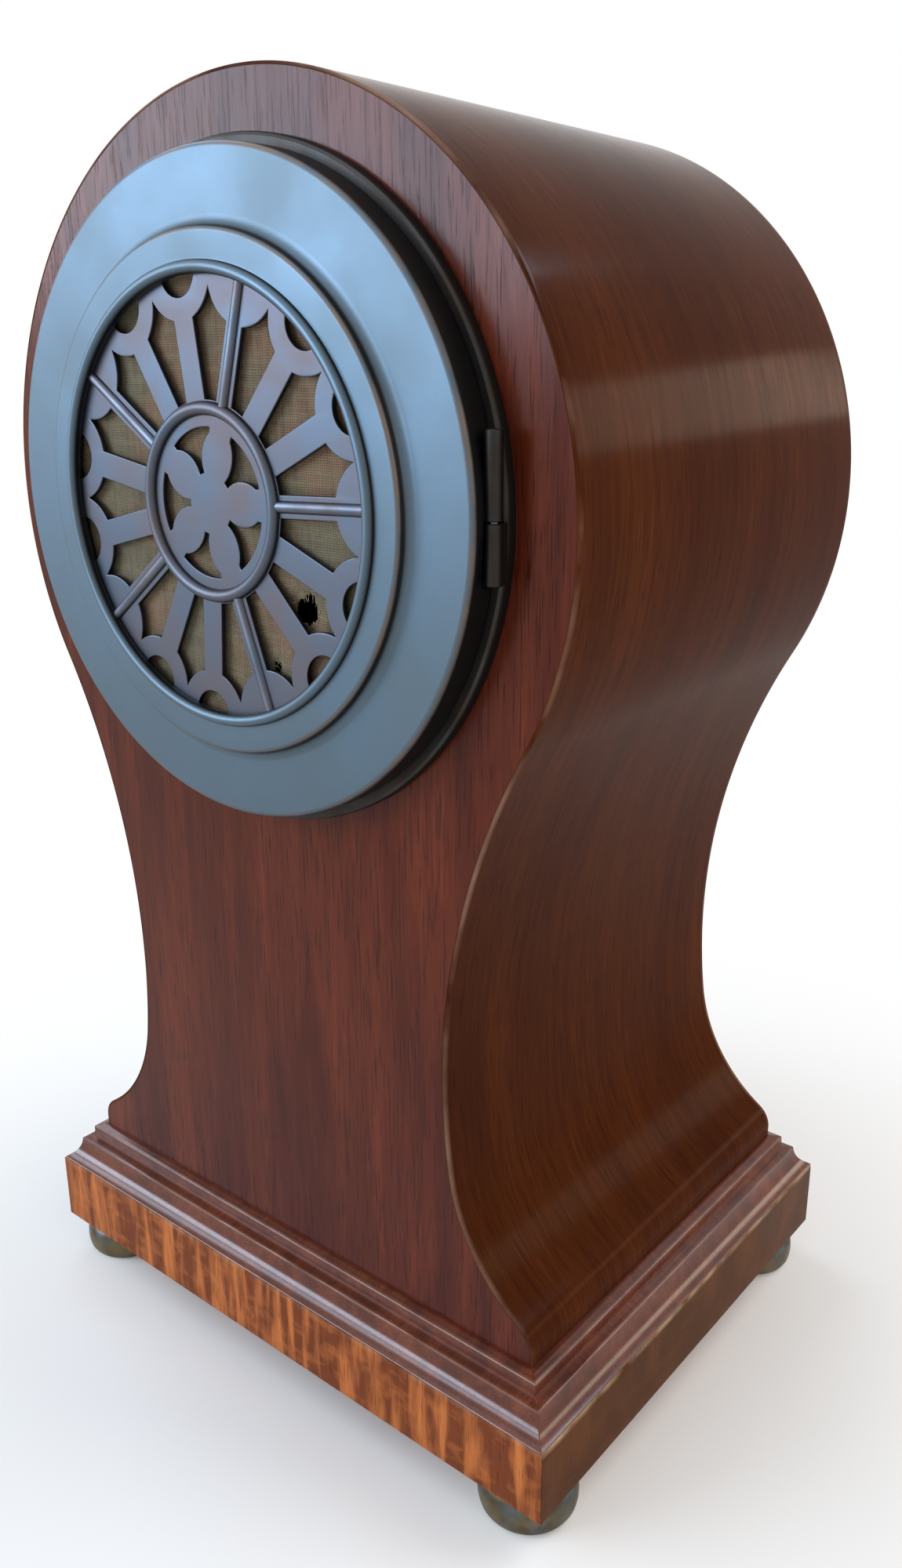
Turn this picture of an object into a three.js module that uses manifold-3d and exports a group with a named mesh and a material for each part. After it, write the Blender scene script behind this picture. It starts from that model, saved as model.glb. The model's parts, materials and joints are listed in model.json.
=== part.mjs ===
// A balloon mantel clock: a mahogany case on a moulded plinth, a pierced door at the back,
// a glazed bezel and enamel dial at the front, and a round striking movement with a pendulum.
// Millimetres, +Z up, dial towards -Y, back door towards +Y, standing on z = 0.
import * as THREE from "three";
import { mergeVertices } from "three/addons/utils/BufferGeometryUtils.js";
import Module from "manifold-3d";

const wasm = await Module();
wasm.setup();

const { cos, sin, PI, hypot, atan2, sqrt, asin, acos } = Math;
const rad = THREE.MathUtils.degToRad;

// Case
const HEAD_R = 95;
const HEAD_Z = 252;
const WAIST_HALF = HEAD_R - 36;
const WAIST_Z = 115.5;
const FLARE_R = 50;
const FLARE_START = rad(8);
const LIP_R = 8;
const LIP_RISE = 3.1;
const BODY_DEPTH = 131;
const PANEL_T = 9;
const WALL_T = 7;
const BOARD_T = 9;

// Plinth and feet
const OVERHANG = 11;
const BLOCK_H = 22;
const MOULDING_H = 12.2;
const FOOT_H = 11;
const FOOT_R = 13.4;
const FOOT_INSET = 13.5;

// Clearances, how far a cut runs past a face, and how far a flat facet may leave a true curve
const GAP = 0.3;
const PIVOT_PLAY = 0.2;
const OVERCUT = 1;
const CHORD = 0.295;

// Round openings, on one centre a little above the centre of the head
const DIAL_RISE = 2;
const PROJECTION = 15.5;

// Back ring and door, all drawn in from the ring's edge
const RING_R = 79.3;
const RING_T = 3;
const RING_CHAMFER = 1;
const SLEEVE_T = 1.7;
const SLEEVE_LENGTH = 9;
const DOOR_R = RING_R - 2.6;
const DOOR_AXIS_X = RING_R - 1.7;
const BACK_HOLE_R = RING_R - 11.3;
const RING_INNER_R = BACK_HOLE_R - 8;
const DOOR_STEP_R = RING_R - 19.3;
const SIGHT_R = DOOR_STEP_R - 10;
const REBATE_R = SIGHT_R + 3;
const DOOR_FLAT_H = 10.7;
const DOOR_STEP_SOFT = 1;
const DOOR_BEAD_RISE = 1.6;
const DOOR_EDGE = 1.4;
const BEAD_SOFT = 0.4;
const DOOR_WALL = 2.7;
const FRET_T = 1.2;
const CLOTH_T = 0.4;
const RETAINER_T = 1.4;
const RETAINER_W = 4.5;
const HINGE_R = 1.9;
const HINGE_PIN_R = 0.9;
const HINGE_HALF = 15.5;
const HINGE_RISE = 3;
const DOOR_AXIS_H = 5.2;
const DOOR_SPLIT = -2.5;

// Fret
const FRET_SPOKES = 15;
const FRET_TURN = rad(178.3);
const BEAD_BAR_HALF = 2.6;
const FLAT_BAR_HALF = 3.3;
const FRET_LOBE_C = 1.03 * SIGHT_R;
const FRET_LOBE_R = 0.222 * SIGHT_R;
const FRET_EYE_R = 0.116 * SIGHT_R;
const FRET_HUB_R = 0.468 * SIGHT_R;
const ROSE_R = 0.346 * SIGHT_R;
const ROSE_PETALS = 5;
const PETAL_C = 0.22 * SIGHT_R;
const PETAL_LONG = 0.132 * SIGHT_R;
const PETAL_HALF = 0.104 * SIGHT_R;
const PETAL_TIP = rad(44);
const PETAL_ROOT = rad(136);
const ROSE_NECK = rad(12.5);

// Bezel, glass and dial, all drawn from the glass
const GLASS_R = 60;
const BEZEL_SIGHT_R = GLASS_R - 2;
const BEZEL_RING_INNER_R = GLASS_R - 4;
const FRONT_HOLE_R = GLASS_R + 2;
const BEZEL_R = GLASS_R + 14;
const BEZEL_RING_R = BEZEL_R - 1;
const BEZEL_AXIS_X = BEZEL_R + 2.2;
const BEZEL_SLEEVE_LENGTH = 15.5;
const BEZEL_SLEEVE_T = 2.1;
const GLASS_T = 2;
const GLASS_RISE = 3;
const GLASS_SEAT_H = 10.2;
const SIGHT_RING_T = 1.3;
const SIGHT_RING_W = 3.5;
const BEZEL_AXIS_H = 4.2;
const KNUCKLE_R = 2;
const KNUCKLE_LENGTH = 9;
const DIAL_T = 1.5;
const DIAL_FOOT_R = 1.5;
const DIAL_FOOT_CIRCLE = 40;
const TAB_REACH = 4;
const TAB_HALF = 5;
const TAB_T = 2.2;
const TONGUE_RISE = 1.3;

// Hands
const HOUR_HAND = 31;
const MINUTE_HAND = 45;
const HAND_T = 1;
const HOUR_HAND_LIFT = 3.4;
const MINUTE_HAND_LIFT = 6.8;
const HOUR_BOSS = 5.2;
const MINUTE_BOSS = 4;
const HAND_NUT_R = 2.6;
const HAND_NUT_T = 1.2;

// Movement frame
const PLATE_R = 44;
const PLATE_T = 2;
const PLATE_GAP = 36;
const MOTION_GAP = 7.7;
const POST_CLEAR = 2;
const PILLAR_R = 2.4;
const UPPER_PILLAR = [33, 22];
const LOWER_PILLAR = [22, -34.5];
const BARREL_PLACE = [19.5, -14];
const BARREL_R = 15;
const BARREL_LENGTH = 15;
const WINDING_R = 2;
const WINDING_SQUARE = 2.8;
const WINDING_HOLE_R = 3.6;
const ARBOR_R = 1.2;
const PIVOT_R = 0.8;
const CENTRE_ARBOR_R = 1.5;
const CENTRE_PIVOT_R = 0.9;
const CANNON_R = 1.7;
const HOUR_PIPE_R = 2.9;
const WHEEL_T = 1.5;
const WHEEL_HUB = 4;
const RIM_W = 2.4;
const ARM_HALF = 0.9;
const FINE_ARBOR_R = 0.7;
const PINION_L = 3.6;

// Tooth counts and modules
const TIP = 0.62;
const ROOT = 1.05;
const BARREL_GEAR = { teeth: 60, module: 0.56 };
const SECOND_PINION = { teeth: 10, module: 0.56 };
const SECOND_GEAR = { teeth: 60, module: 0.5 };
const CENTRE_PINION = { teeth: 10, module: 0.5 };
const CENTRE_GEAR = { teeth: 72, module: 0.4 };
const THIRD_PINION = { teeth: 6, module: 0.4 };
const THIRD_GEAR = { teeth: 63, module: 0.4 };
const ESCAPE_PINION = { teeth: 6, module: 0.4 };
const CANNON_GEAR = { teeth: 10, module: 0.5 };
const MINUTE_GEAR = { teeth: 30, module: 0.5 };
const MINUTE_PINION = { teeth: 8, module: 0.5 };
const HOUR_GEAR = { teeth: 32, module: 0.5 };
const STRIKE_GEAR = { teeth: 60, module: 0.42 };
const PIN_PINION = { teeth: 10, module: 0.42 };
const THIRD_BEARING = rad(128);
const STRIKE_BEARING = rad(-10);

// Escapement and pendulum
const ESCAPE_TEETH = 38;
const ESCAPE_R = 10;
const ESCAPE_TOOTH = 1.6;
const ESCAPE_HUB = 2.6;
const ESCAPE_RIM = 1.2;
const PALLET_SPAN = 8.5;
const NIB_HALF = 0.17;
const NIB_CLEAR = 0.05;
const ARM_IN_RISE = 2.2;
const ARM_OUT_RISE = 2.6;
const ARM_IN_TURN = 0.1;
const ARM_OUT_TURN = 0.16;
const ANCHOR_UNDER = [1.4, -1.6];
const ANCHOR_OVER = [2, 1.8];
const ANCHOR_EXTRA = 0.4;
const CRUTCH_HALF = 1;
const CRUTCH_T = 1.4;
const CRUTCH_REACH = 30;
const PRONG_W = 1.2;
const PRONG_H = 2;
const COCK_STAND = 4.5;
const COCK_T = 2;
const COCK_HALF = 13;
const COCK_LOW = -3;
const COCK_HIGH = 7;
const COCK_LEG_W = 4;
const SPRING_BLOCK_HALF = 3;
const SPRING_BLOCK = [3.5, 8];
const PENDULUM = 140;
const PENDULUM_STAND = 9.25;
const SPRING_T = 0.24;
const SPRING_W = 4.8;
const SPRING_TUCK = 0.4;
const CLAMP_TOP = -7;
const CLAMP_H = 9;
const CLAMP_GRIP = 4;
const CLAMP_HALF = 2.4;
const ROD_R = 1.3;
const THREAD_R = 1;
const BOB_R = 17;
const BOB_T = 9;
const BOB_FULLNESS = 0.6;
const NUT_R = 4;
const NUT_H = 3;

// Strike
const PIN_WHEEL_R = 8.5;
const PIN_CIRCLE = 7.3;
const PINS = 10;
const PIN_R = 0.5;
const PIN_LENGTH = 3;
const HAMMER_PLACE = [-12, -37];
const HAMMER_HEAD_R = 3.5;
const HAMMER_HEAD_L = 9;
const HAMMER_ARM_R = 1.1;
const HAMMER_TAIL_HALF = 0.8;
const STRIKE_TURN = rad(165);
const GONG_X = 14;
const GONG_Z = 153;
const GONG_Y = 10;
const GONG_WIRE_R = 1.2;
const GONG_INNER = 9;
const GONG_OUTER = 28;
const GONG_TURNS = 3;
const GONG_STEPS = 16;
const GONG_SIDES = 6;
const STUB_R = 5;
const POST_R = 4;
const POST_BACK = 10;

// Straps
const STRAP_T = 1.4;
const STRAP_HALF = 6;
const SCREW_X = BACK_HOLE_R - 5;
const STRAP_X = SCREW_X - 5;
const LUG_T = 2;
const SCREW_R = 1.4;
const SCREW_HEAD_R = 2.6;
const SCREW_HEAD_T = 1.6;

// Levels that follow from the driving dimensions
const HALF_DEPTH = BODY_DEPTH / 2;
const INNER_Y = HALF_DEPTH - PANEL_T;
const BLOCK_TOP = FOOT_H + BLOCK_H;
const BASE_Z = BLOCK_TOP + MOULDING_H;
const CENTRE_Z = HEAD_Z + DIAL_RISE;
const DIAL_Y = -(HALF_DEPTH - GAP);
const FRONT_PLATE_Y = DIAL_Y + DIAL_T + MOTION_GAP;
const TRAIN_FRONT = FRONT_PLATE_Y + PLATE_T;
const TRAIN_BACK = TRAIN_FRONT + PLATE_GAP;
const BACK_PLATE_Y = TRAIN_BACK + PLATE_T;

function finish(color, roughness, metalness) {
  return new THREE.MeshStandardMaterial({ color, roughness, metalness });
}

const mahogany = finish(0x4a2317, 0.3, 0);
const pine = finish(0xa98456, 0.8, 0);
const bronze = finish(0x57504a, 0.4, 0.9);
const brass = finish(0xb08d4a, 0.35, 1);
const steel = finish(0x8c8f94, 0.35, 1);
const blued = finish(0x1d2748, 0.3, 1);
const enamel = finish(0xf3f0e6, 0.2, 0);
const linen = finish(0x8a7656, 0.95, 0);
const glass = new THREE.MeshStandardMaterial({
  color: 0xe8f0f0,
  roughness: 0.05,
  metalness: 0,
  transparent: true,
  opacity: 0.25,
});

const clock = new THREE.Group();

function piece(name, geometry, material, x = 0, y = 0, z = 0) {
  const mesh = new THREE.Mesh(geometry, material);
  mesh.name = name;
  mesh.position.set(x, y, z);
  clock.add(mesh);
  return mesh;
}

// Joining and cutting closed geometry
function solid(geometry) {
  const bare = geometry.clone();
  bare.deleteAttribute("normal");
  bare.deleteAttribute("uv");
  const merged = mergeVertices(bare, 1e-4);
  const vertProperties = merged.attributes.position.array;
  const triVerts = new Uint32Array(merged.index.array);
  return new wasm.Manifold(new wasm.Mesh({ numProp: 3, vertProperties, triVerts }));
}

function geometryOf(body) {
  const { vertProperties, triVerts } = body.getMesh();
  const geometry = new THREE.BufferGeometry();
  geometry.setAttribute("position", new THREE.BufferAttribute(vertProperties, 3));
  geometry.setIndex(new THREE.BufferAttribute(triVerts, 1));
  geometry.computeVertexNormals();
  return geometry;
}

const join = (...parts) => geometryOf(parts.map(solid).reduce((a, b) => a.add(b)));
const cut = (part, ...tools) => geometryOf(tools.map(solid).reduce((a, b) => a.subtract(b), solid(part)));

// Facets in a stretch of arc; a whole turn gets a multiple of four
function facets(r, sweep) {
  const step = Math.min(2 * acos(1 - CHORD / r), PI / 4);
  const count = Math.ceil(Math.abs(sweep) / step - 1e-9);
  return Math.abs(sweep) < 2 * PI ? count : 4 * Math.ceil(count / 4);
}

// Points along an arc, both ends included
function arc(x, z, r, start, end) {
  const count = facets(r, end - start);
  const points = [];
  for (let i = 0; i <= count; i++) {
    const a = start + ((end - start) * i) / count;
    points.push(new THREE.Vector2(x + r * cos(a), z + r * sin(a)));
  }
  return points;
}

const circle = (x, z, r) => arc(x, z, r, 0, 2 * PI).slice(1);
const polar = (r, a) => new THREE.Vector2(r * cos(a), r * sin(a));

// A flat shape drawn in X and Z, filling the depth from y0 to y1
function slab(shape, y0, y1) {
  const settings = { depth: y1 - y0, bevelEnabled: false, curveSegments: 4 };
  return new THREE.ExtrudeGeometry(shape, settings).rotateX(PI / 2).translate(0, y1, 0);
}

// A profile of [radius, y] points turned about the Y axis; it runs anticlockwise
function turned(profile) {
  const widest = Math.max(...profile.map(([r]) => r));
  return new THREE.LatheGeometry(profile.map(([r, y]) => new THREE.Vector2(r, y)), facets(widest, 2 * PI));
}

function ring(inner, outer, y0, y1) {
  return turned([[inner, y0], [outer, y0], [outer, y1], [inner, y1], [inner, y0]]);
}

const rod = (r, y0, y1) => turned([[0, y0], [r, y0], [r, y1], [0, y1]]);
const upright = (r, z0, z1) => rod(r, z0, z1).rotateX(PI / 2);

function box(x0, x1, y0, y1, z0, z1) {
  const geometry = new THREE.BoxGeometry(x1 - x0, y1 - y0, z1 - z0);
  return geometry.translate((x0 + x1) / 2, (y0 + y1) / 2, (z0 + z1) / 2);
}

function pierced(outline, holes) {
  const shape = new THREE.Shape(outline);
  for (const points of holes) shape.holes.push(new THREE.Path(points));
  return shape;
}

const discShape = (r, holes = []) => pierced(circle(0, 0, r), holes.map((hole) => circle(...hole)));

// Case outline: head circle, waist arc, flare arc and rounded lip, each tangent to the next
const WAIST_R = ((HEAD_Z - WAIST_Z) ** 2 + WAIST_HALF ** 2 - HEAD_R ** 2) / (2 * (HEAD_R - WAIST_HALF));
const WAIST_X = WAIST_HALF + WAIST_R;
const HEAD_TURN = atan2(HEAD_Z - WAIST_Z, WAIST_X);
const FLARE_X = WAIST_X - (WAIST_R - FLARE_R) * cos(FLARE_START);
const FLARE_Z = WAIST_Z - (WAIST_R - FLARE_R) * sin(FLARE_START);
const LIP_Z = BASE_Z + LIP_RISE;
const LIP_X = FLARE_X - sqrt((FLARE_R + LIP_R) ** 2 - (FLARE_Z - LIP_Z) ** 2);
const BASE_HALF = LIP_X + LIP_R;
const FLARE_END = atan2(FLARE_Z - LIP_Z, FLARE_X - LIP_X);

function caseOutline(inset) {
  const side = [
    new THREE.Vector2(BASE_HALF - inset, BASE_Z),
    ...arc(LIP_X, LIP_Z, LIP_R - inset, 0, FLARE_END),
    ...arc(FLARE_X, FLARE_Z, FLARE_R + inset, PI + FLARE_END, PI + FLARE_START).slice(1),
    ...arc(WAIST_X, WAIST_Z, WAIST_R + inset, PI + FLARE_START, PI - HEAD_TURN).slice(1),
  ];
  const head = arc(0, HEAD_Z, HEAD_R - inset, -HEAD_TURN, PI + HEAD_TURN).slice(1, -1);
  const mirrored = side.map(({ x, y }) => new THREE.Vector2(-x, y)).reverse();
  return [...side, ...head, ...mirrored];
}

// Half the width inside the wrap at a height on its flare
function innerHalf(z) {
  const r = FLARE_R + WALL_T;
  const turn = Math.min(asin((FLARE_Z - z) / r), FLARE_END);
  return FLARE_X - r * cos(turn);
}

const panelShape = (holeR) => pierced(caseOutline(0), [circle(0, CENTRE_Z, holeR)]);

function makeCase() {
  piece("back_panel", slab(panelShape(BACK_HOLE_R), INNER_Y, HALF_DEPTH), mahogany);
  piece("front_panel", slab(panelShape(FRONT_HOLE_R), -HALF_DEPTH, -INNER_Y), mahogany);
  const wrap = new THREE.Shape([...caseOutline(0), ...caseOutline(WALL_T).reverse()]);
  piece("case_wrap", slab(wrap, -INNER_Y, INNER_Y), mahogany);
  const boardTop = BASE_Z + BOARD_T;
  const boardHalf = innerHalf(boardTop) - GAP;
  const boardDepth = INNER_Y - GAP;
  piece("base_board", box(-boardHalf, boardHalf, -boardDepth, boardDepth, BASE_Z, boardTop), pine);
}

// Plinth moulding: a profile of [projection, height] shares, mitred round the four sides
const MOULDING = [
  [1, 0],
  [0.825, 0.1],
  [0.696, 0.227],
  [0.612, 0.383],
  [0.573, 0.566],
  [0.564, 0.586],
  [0.305, 0.607],
  [0.295, 0.934],
  [0.02, 1],
];

function mitred(levels) {
  const position = [];
  const index = [];
  const corners = [[1, 1], [-1, 1], [-1, -1], [1, -1]];
  for (const [x, y, z] of levels) {
    for (const [sx, sy] of corners) position.push(sx * x, sy * y, z);
  }
  for (let level = 0; level + 1 < levels.length; level++) {
    for (let i = 0; i < 4; i++) {
      const a = 4 * level + i;
      const b = 4 * level + ((i + 1) % 4);
      index.push(a, b, b + 4, a, b + 4, a + 4);
    }
  }
  const top = 4 * (levels.length - 1);
  index.push(0, 2, 1, 0, 3, 2, top, top + 1, top + 2, top, top + 2, top + 3);
  const geometry = new THREE.BufferGeometry();
  geometry.setAttribute("position", new THREE.Float32BufferAttribute(position, 3));
  return geometry.setIndex(index);
}

function makePlinth() {
  const levels = MOULDING.map(([out, up]) => [
    BASE_HALF + out * OVERHANG,
    HALF_DEPTH + out * OVERHANG,
    BLOCK_TOP + up * MOULDING_H,
  ]);
  piece("plinth_moulding", mitred(levels), mahogany);
  const halfX = BASE_HALF + OVERHANG;
  const halfY = HALF_DEPTH + OVERHANG;
  piece("plinth_block", box(-halfX, halfX, -halfY, halfY, FOOT_H, BLOCK_TOP), mahogany);
  const bun = [
    [0, 0],
    [0.85, 0],
    [0.97, 0.17],
    [1, 0.45],
    [0.96, 0.76],
    [0.82, 1],
    [0, 1],
  ];
  const foot = turned(bun.map(([r, up]) => [r * FOOT_R, up * FOOT_H])).rotateX(PI / 2);
  const footX = halfX - FOOT_INSET;
  const footY = halfY - FOOT_INSET;
  piece("foot_front_left", foot, brass, -footX, -footY);
  piece("foot_front_right", foot, brass, footX, -footY);
  piece("foot_back_left", foot, brass, -footX, footY);
  piece("foot_back_right", foot, brass, footX, footY);
}

// Back ring and door; heights are measured out from the back face of the case
const back = (h) => HALF_DEPTH + h;
const DOOR_BACK_H = RING_T + GAP;
const FRET_FRONT_H = 12.6;
const FRET_BACK_H = FRET_FRONT_H - FRET_T;
const CLOTH_FRONT_H = FRET_BACK_H - GAP;
const CLOTH_BACK_H = CLOTH_FRONT_H - CLOTH_T;
const RETAINER_FRONT_H = CLOTH_BACK_H - GAP;
const LEAF_R = REBATE_R - GAP;

function fretShape() {
  const holes = [];
  const pitch = (2 * PI) / FRET_SPOKES;
  const isBeaded = (k) => k % 3 === 0;
  const barHalf = (k) => (isBeaded(k) ? BEAD_BAR_HALF : FLAT_BAR_HALF);
  const hole = (points) => holes.push(points);
  const arcSteps = 3;
  const eyeSteps = 6;
  const petalSteps = 4;
  for (let k = 0; k < FRET_SPOKES; k++) {
    const a0 = FRET_TURN + k * pitch;
    const side = (spoke, sign) => {
      const a = FRET_TURN + spoke * pitch;
      const half = barHalf(spoke);
      const along = polar(1, a);
      const across = polar(sign * half, a + PI / 2);
      const inner = along.clone().multiplyScalar(sqrt(FRET_HUB_R ** 2 - half ** 2)).add(across);
      const centre = polar(FRET_LOBE_C, a);
      const start = PI - asin(half / FRET_LOBE_R);
      const halfChord = FRET_LOBE_C * sin(pitch / 2);
      const tip = PI / 2 + pitch / 2 + acos(halfChord / FRET_LOBE_R);
      const arc = [];
      for (let i = 0; i <= arcSteps; i++) {
        const turn = start + ((tip - start) * i) / arcSteps;
        arc.push(polar(FRET_LOBE_R, a + sign * turn).add(centre));
      }
      return [inner, ...arc];
    };
    const left = side(k, 1);
    const right = side(k + 1, -1).reverse();
    hole([...left, ...right.slice(1)]);
    if (isBeaded(k)) continue;
    const eyeSide = SIGHT_R ** 2 - FRET_LOBE_C ** 2 - FRET_EYE_R ** 2;
    const reach = acos(eyeSide / (2 * FRET_LOBE_C * FRET_EYE_R));
    const eye = [];
    for (let i = 0; i <= eyeSteps; i++) {
      const turn = reach + ((2 * PI - 2 * reach) * i) / eyeSteps;
      eye.push(polar(FRET_LOBE_C, a0).add(polar(FRET_EYE_R, a0 + turn)));
    }
    hole(eye);
  }
  const petal = (2 * PI) / ROSE_PETALS;
  for (let k = 0; k < ROSE_PETALS; k++) {
    const a0 = FRET_TURN + k * petal;
    const edge = (a, sign) => {
      const points = [];
      for (let i = 0; i <= petalSteps; i++) {
        const t = PETAL_TIP + ((PETAL_ROOT - PETAL_TIP) * i) / petalSteps;
        const local = new THREE.Vector2(PETAL_C + PETAL_LONG * cos(t), sign * PETAL_HALF * sin(t));
        points.push(local.rotateAround(new THREE.Vector2(), a));
      }
      return points;
    };
    const rim = [];
    for (let i = 0; i <= petalSteps; i++) {
      rim.push(polar(ROSE_R, a0 + petal - ROSE_NECK - ((petal - 2 * ROSE_NECK) * i) / petalSteps));
    }
    hole([...edge(a0, 1), ...edge(a0 + petal, -1).reverse(), ...rim]);
  }
  return pierced(circle(0, 0, LEAF_R), holes);
}

function makeBackDoor() {
  const sleeveR = BACK_HOLE_R - GAP;
  const ringProfile = [
    [sleeveR - SLEEVE_T, back(-SLEEVE_LENGTH)],
    [sleeveR, back(-SLEEVE_LENGTH)],
    [sleeveR, back(0)],
    [RING_R, back(0)],
    [RING_R, back(0.7 * RING_T)],
    [RING_R - RING_CHAMFER, back(RING_T)],
    [RING_INNER_R, back(RING_T)],
    [RING_INNER_R, back(0)],
    [sleeveR - SLEEVE_T, back(0)],
    [sleeveR - SLEEVE_T, back(-SLEEVE_LENGTH)],
  ];
  const hingeY = back(DOOR_AXIS_H);
  const onHinge = (geometry) => geometry.translate(-DOOR_AXIS_X, hingeY, HINGE_RISE);
  const lowKnuckle = onHinge(upright(HINGE_R, -HINGE_HALF, DOOR_SPLIT - GAP));
  const seat = box(
    -DOOR_AXIS_X - 0.85 * HINGE_R,
    -DOOR_AXIS_X + 0.85 * HINGE_R,
    back(RING_T / 2),
    hingeY,
    HINGE_RISE - HINGE_HALF,
    HINGE_RISE + DOOR_SPLIT - GAP,
  );
  const boreReach = HINGE_HALF + OVERCUT;
  const bore = onHinge(upright(HINGE_PIN_R + PIVOT_PLAY, -boreReach, boreReach));
  const screwHole = (side) =>
    rod(SCREW_R + PIVOT_PLAY, back(-OVERCUT), back(RING_T + OVERCUT)).translate(side * SCREW_X, 0, 0);
  const backRing = cut(join(turned(ringProfile), lowKnuckle, seat), bore, screwHole(1), screwHole(-1));
  piece("back_ring", backRing, bronze, 0, 0, CENTRE_Z);

  const ledgeH = PROJECTION - DOOR_BEAD_RISE;
  const ledgeR = DOOR_STEP_R - DOOR_STEP_SOFT;
  const beadMiddle = (REBATE_R + SIGHT_R) / 2;
  const doorProfile = [
    [DOOR_R, back(DOOR_BACK_H)],
    [DOOR_R, back(DOOR_FLAT_H - DOOR_EDGE)],
    [DOOR_R - 0.3 * DOOR_EDGE, back(DOOR_FLAT_H - 0.3 * DOOR_EDGE)],
    [DOOR_R - DOOR_EDGE, back(DOOR_FLAT_H)],
    [DOOR_STEP_R + DOOR_STEP_SOFT, back(DOOR_FLAT_H)],
    [DOOR_STEP_R, back(DOOR_FLAT_H + DOOR_STEP_SOFT)],
    [ledgeR + 0.3 * DOOR_STEP_SOFT, back(ledgeH - 0.7 * DOOR_STEP_SOFT)],
    [ledgeR - 0.4 * DOOR_STEP_SOFT, back(ledgeH)],
    [REBATE_R + BEAD_SOFT, back(ledgeH)],
    [REBATE_R - BEAD_SOFT, back(PROJECTION - 1.5 * BEAD_SOFT)],
    [beadMiddle + BEAD_SOFT, back(PROJECTION)],
    [beadMiddle - BEAD_SOFT, back(PROJECTION - BEAD_SOFT / 2)],
    [SIGHT_R, back(PROJECTION - 3 * BEAD_SOFT)],
    [SIGHT_R, back(FRET_FRONT_H + GAP)],
    [REBATE_R, back(FRET_FRONT_H + GAP)],
    [REBATE_R, back(DOOR_FLAT_H - DOOR_WALL)],
    [DOOR_R - DOOR_WALL, back(DOOR_FLAT_H - DOOR_WALL)],
    [DOOR_R - DOOR_WALL, back(DOOR_BACK_H)],
    [DOOR_R, back(DOOR_BACK_H)],
  ];
  const doorKnuckle = onHinge(upright(HINGE_R, DOOR_SPLIT, HINGE_HALF));
  const notchR = HINGE_R + 2 * GAP;
  const notchLow = -HINGE_HALF - 2 * GAP;
  const roundNotch = onHinge(upright(notchR, notchLow, DOOR_SPLIT));
  const seatNotch = box(
    -DOOR_AXIS_X - notchR,
    -DOOR_AXIS_X + notchR,
    back(0),
    hingeY,
    HINGE_RISE + notchLow,
    HINGE_RISE + DOOR_SPLIT,
  );
  const doorFrame = cut(join(turned(doorProfile), doorKnuckle), roundNotch, seatNotch, bore);
  piece("door_frame", doorFrame, bronze, 0, 0, CENTRE_Z);
  const fretMesh = slab(fretShape(), back(FRET_BACK_H), back(FRET_FRONT_H));
  piece("door_fret", fretMesh, bronze, 0, 0, CENTRE_Z);
  piece("door_cloth", rod(LEAF_R, back(CLOTH_BACK_H), back(CLOTH_FRONT_H)), linen, 0, 0, CENTRE_Z);
  const retainerBack = back(RETAINER_FRONT_H - RETAINER_T);
  const retainer = ring(LEAF_R - RETAINER_W, LEAF_R, retainerBack, back(RETAINER_FRONT_H));
  piece("cloth_retainer", retainer, brass, 0, 0, CENTRE_Z);
  const pin = upright(HINGE_PIN_R, -HINGE_HALF, HINGE_HALF);
  piece("door_hinge_pin", pin, steel, -DOOR_AXIS_X, hingeY, CENTRE_Z + HINGE_RISE);
}

// Bezel ring, hinged bezel, glass and dial; depths are measured out from the front face
const front = (d) => -HALF_DEPTH - d;

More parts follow.
